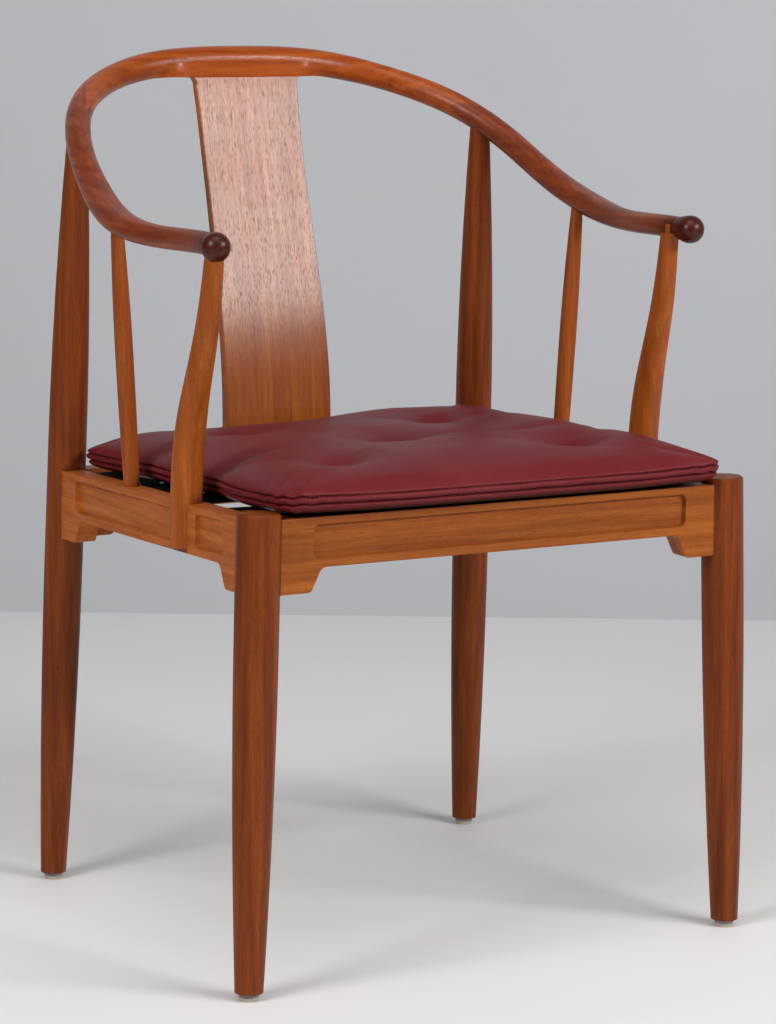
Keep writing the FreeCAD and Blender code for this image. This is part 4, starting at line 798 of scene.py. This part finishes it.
def leather_material():
    """Red leather, pebbled, worn in patches, and painted dark as shade where it turns under."""
    material, tree, shader = new_material("leather_red_painted_shade")
    place = object_place(tree)
    warp = wire(tree, "ShaderNodeTexNoise", {"Vector": place, "Scale": 260.0, "Detail": 2.0})
    bent = wire(tree, "ShaderNodeVectorMath", {0: warp.outputs["Color"], 1: (PEBBLE_BEND,) * 3},
                operation="MULTIPLY").outputs[0]
    bent = wire(tree, "ShaderNodeVectorMath", {0: place, 1: bent}, operation="ADD").outputs[0]
    cells = wire(tree, "ShaderNodeTexVoronoi", {"Vector": bent, "Scale": PEBBLE_SCALE},
                 feature="DISTANCE_TO_EDGE").outputs["Distance"]
    fine = wire(tree, "ShaderNodeTexNoise", {"Vector": place, "Scale": 1800.0, "Detail": 3.0})
    wear = wire(tree, "ShaderNodeTexNoise", {"Vector": place, "Scale": 9.0, "Detail": 5.0,
                                             "Roughness": 0.62}).outputs["Fac"]
    tone = ramp(tree, wear, [(0.30, (0.125, 0.006, 0.009)), (0.52, (0.165, 0.011, 0.015)),
                             (0.75, (0.190, 0.022, 0.026))])
    crease = fitted(tree, cells, 0.0, 0.14)
    tone = blended(tree, crease, (0.085, 0.007, 0.009), tone)
    over_seat = wire(tree, "ShaderNodeVectorMath", {0: place, 1: SEAT_ORIGIN}, operation="SUBTRACT")
    upward = wire(tree, "ShaderNodeVectorMath", {0: over_seat.outputs[0], 1: SEAT_UP},
                  operation="DOT_PRODUCT")
    # painted shade: the rolled lower edge is painted dark by its height over the seat
    unshaded_share = fitted(tree, upward.outputs["Value"], PAINTED_SHADE_FULL_TO, PAINTED_SHADE_GONE_AT, smooth=True)
    tone = blended(tree, unshaded_share, PAINTED_SHADE_TONE, tone)
    tree.links.new(tone, shader.inputs["Base Color"])
    gloss = fitted(tree, wear, 0.3, 0.75, 0.40, 0.52)
    tree.links.new(gloss, shader.inputs["Roughness"])
    shader.inputs["Specular IOR Level"].default_value = 0.16
    relief = reckoned(tree, "ADD", crease, reckoned(tree, "MULTIPLY", fine.outputs["Fac"], 0.4))
    bump = wire(tree, "ShaderNodeBump", {"Height": relief, "Strength": 0.28, "Distance": PEBBLE_RELIEF})
    tree.links.new(bump.outputs["Normal"], shader.inputs["Normal"])
    return material


leather = leather_material()
# the black lining has no reflection and also stands in for the shade under the cushion, as painted shade
lining = speckled("lining_black_painted_shade", (0.004, 0.004, 0.004), (0.012, 0.012, 0.012),
                  scale=900.0, roughness=0.95, depth=0.0002)
lining.node_tree.nodes["Principled BSDF"].inputs["Specular IOR Level"].default_value = 0.0
cover.data.materials.append(leather)
cover.data.materials.append(lining)
lined = (UNDERSIDE_RINGS + UNDERSIDE_ROWS) * ring_size
for face in cover.data.polygons:
    corners = [corner for corner in face.vertices if corner < len(cover_points)]
    face.material_index = int(max(corners) < lined)
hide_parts("seat_cushion")
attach(cover, "cushion")
print("cover dressed")

# %% [markdown]
# ## Welt and stitches
#
# Around the edge runs a welt of folded leather, with a stitch line above and below it. Both follow the
# outline. They could be modelled once and bent around it, but Geometry Nodes keep the thread's spacing
# even whatever the outline does: one tree sweeps a round section along the ring and lets it waver as
# sewn leather does, the other sets a short thread every few millimetres.

# %% Curve for the edge
WELT_INSET, WELT_HEIGHT = 0.0040, 0.0146


def edge_line(name, inset, height):
    """A closed line around the cushion, as a mesh of edges that the trees read."""
    points = cushion_ring(inset)
    places = seat_to_world(points, height + corner_lift(points))
    count = len(places)
    mesh = bpy.data.meshes.new(name)
    mesh.from_pydata(places.tolist(), [(index, (index + 1) % count) for index in range(count)], [])
    line = bpy.data.objects.new(name, mesh)
    bpy.context.scene.collection.objects.link(line)
    return line


def new_tree(name, inputs):
    """A node group that takes a line and named sizes, and gives back geometry."""
    tree = bpy.data.node_groups.new(name, "GeometryNodeTree")
    tree.interface.new_socket("Geometry", in_out="INPUT", socket_type="NodeSocketGeometry")
    for label, kind in inputs.items():
        tree.interface.new_socket(label, in_out="INPUT", socket_type=kind)
    tree.interface.new_socket("Geometry", in_out="OUTPUT", socket_type="NodeSocketGeometry")
    start = tree.nodes.new("NodeGroupInput")
    end = tree.nodes.new("NodeGroupOutput")
    return tree, start.outputs, end.inputs


def end_tree(tree, made, given, result):
    """Ends a tree with real geometry and its material, because the export drops instances."""
    real = wire(tree, "GeometryNodeRealizeInstances", {"Geometry": made.outputs[0]})
    coated = wire(tree, "GeometryNodeSetMaterial", {
        "Geometry": real.outputs[0], "Material": given["Material"],
    })
    tree.links.new(coated.outputs[0], result[0])


def grown(line, tree, values, name):
    """Runs a tree on a line with its inputs set, and keeps the result as a plain mesh."""
    modifier = line.modifiers.new(name, "NODES")
    modifier.node_group = tree
    for item in tree.interface.items_tree:
        if item.in_out == "INPUT" and item.name in values:
            modifier[item.identifier] = values[item.name]
    evaluated = line.evaluated_get(bpy.context.evaluated_depsgraph_get())
    mesh = bpy.data.meshes.new_from_object(evaluated)
    mesh.name = name
    bpy.data.objects.remove(line)
    mesh.polygons.foreach_set("use_smooth", [True] * len(mesh.polygons))
    piece = bpy.data.objects.new(name, mesh)
    bpy.context.scene.collection.objects.link(piece)
    return piece


# %% Welt
WELT_INPUTS = {
    "Radius": "NodeSocketFloat", "Waver": "NodeSocketFloat", "Step": "NodeSocketFloat",
    "Seed": "NodeSocketFloat", "Material": "NodeSocketMaterial",
}


def welt_tree():
    """A line becomes a tube that wavers."""
    tree, given, result = new_tree("welt", WELT_INPUTS)
    curve = wire(tree, "GeometryNodeMeshToCurve", {"Mesh": given["Geometry"]}).outputs[0]
    even = wire(tree, "GeometryNodeResampleCurve", {"Curve": curve, "Length": given["Step"]},
                mode="LENGTH")
    place = wire(tree, "GeometryNodeInputPosition").outputs[0]
    noise = wire(tree, "ShaderNodeTexNoise", {"Vector": place, "W": given["Seed"], "Scale": 34.0,
                                              "Detail": 1.0}, noise_dimensions="4D").outputs["Color"]
    centred = wire(tree, "ShaderNodeVectorMath", {0: noise, 1: (0.5, 0.5, 0.5)}, operation="SUBTRACT")
    shift = wire(tree, "ShaderNodeVectorMath", {0: centred.outputs[0]}, operation="SCALE")
    tree.links.new(given["Waver"], shift.inputs["Scale"])
    moved = wire(tree, "GeometryNodeSetPosition", {
        "Geometry": even.outputs[0], "Offset": shift.outputs[0],
    })
    ring = wire(tree, "GeometryNodeCurvePrimitiveCircle", {"Resolution": 12, "Radius": given["Radius"]})
    tube = wire(tree, "GeometryNodeCurveToMesh", {
        "Curve": moved.outputs[0], "Profile Curve": ring.outputs[0],
    })
    end_tree(tree, tube, given, result)
    return tree


WELT_SIZES = {"Radius": 0.0027, "Waver": 0.0016, "Step": 0.0035, "Seed": 4.0, "Material": leather}
welt = grown(edge_line("welt_line", WELT_INSET, WELT_HEIGHT), welt_tree(), WELT_SIZES, "cushion_welt")
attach(welt, "cushion")
print("welt with", len(welt.data.polygons), "faces")

# %% Stitches
STITCH_INPUTS = {
    "Spacing": "NodeSocketFloat", "Length": "NodeSocketFloat", "Thickness": "NodeSocketFloat",
    "Material": "NodeSocketMaterial",
}


def stitch_tree():
    """A line becomes a row of short threads laid along it."""
    tree, given, result = new_tree("stitches", STITCH_INPUTS)
    curve = wire(tree, "GeometryNodeMeshToCurve", {"Mesh": given["Geometry"]}).outputs[0]
    points = wire(tree, "GeometryNodeCurveToPoints", {"Curve": curve, "Length": given["Spacing"]},
                  mode="LENGTH")
    bead = wire(tree, "GeometryNodeMeshUVSphere", {"Segments": 6, "Rings": 5, "Radius": 0.5})
    size = wire(tree, "ShaderNodeCombineXYZ", {0: given["Thickness"], 1: given["Thickness"],
                                               2: given["Length"]}).outputs[0]
    turn = points.outputs["Rotation"]
    placed = wire(tree, "GeometryNodeInstanceOnPoints", {
        "Points": points.outputs[0], "Instance": bead.outputs[0], "Rotation": turn, "Scale": size,
    })
    end_tree(tree, placed, given, result)
    return tree


thread = speckled("thread_dark_red", (0.060, 0.010, 0.012), (0.14, 0.024, 0.028),
                  scale=1400.0, roughness=0.6, depth=0.0001)
threads = stitch_tree()
STITCH_SIZES = {"Spacing": 0.0042, "Length": 0.0032, "Thickness": 0.0009, "Material": thread}
STITCH_LINES = {
    # name: inset from the outline, height over the seat
    "cushion_upper_stitches": (0.0046, 0.0176),
    "cushion_lower_stitches": (0.0052, 0.0114),
}
for name, (inset, height) in STITCH_LINES.items():
    stitches = grown(edge_line(f"{name}_line", inset, height), threads, STITCH_SIZES, name)
    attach(stitches, "cushion")
    print(name, len(stitches.data.polygons), "faces")
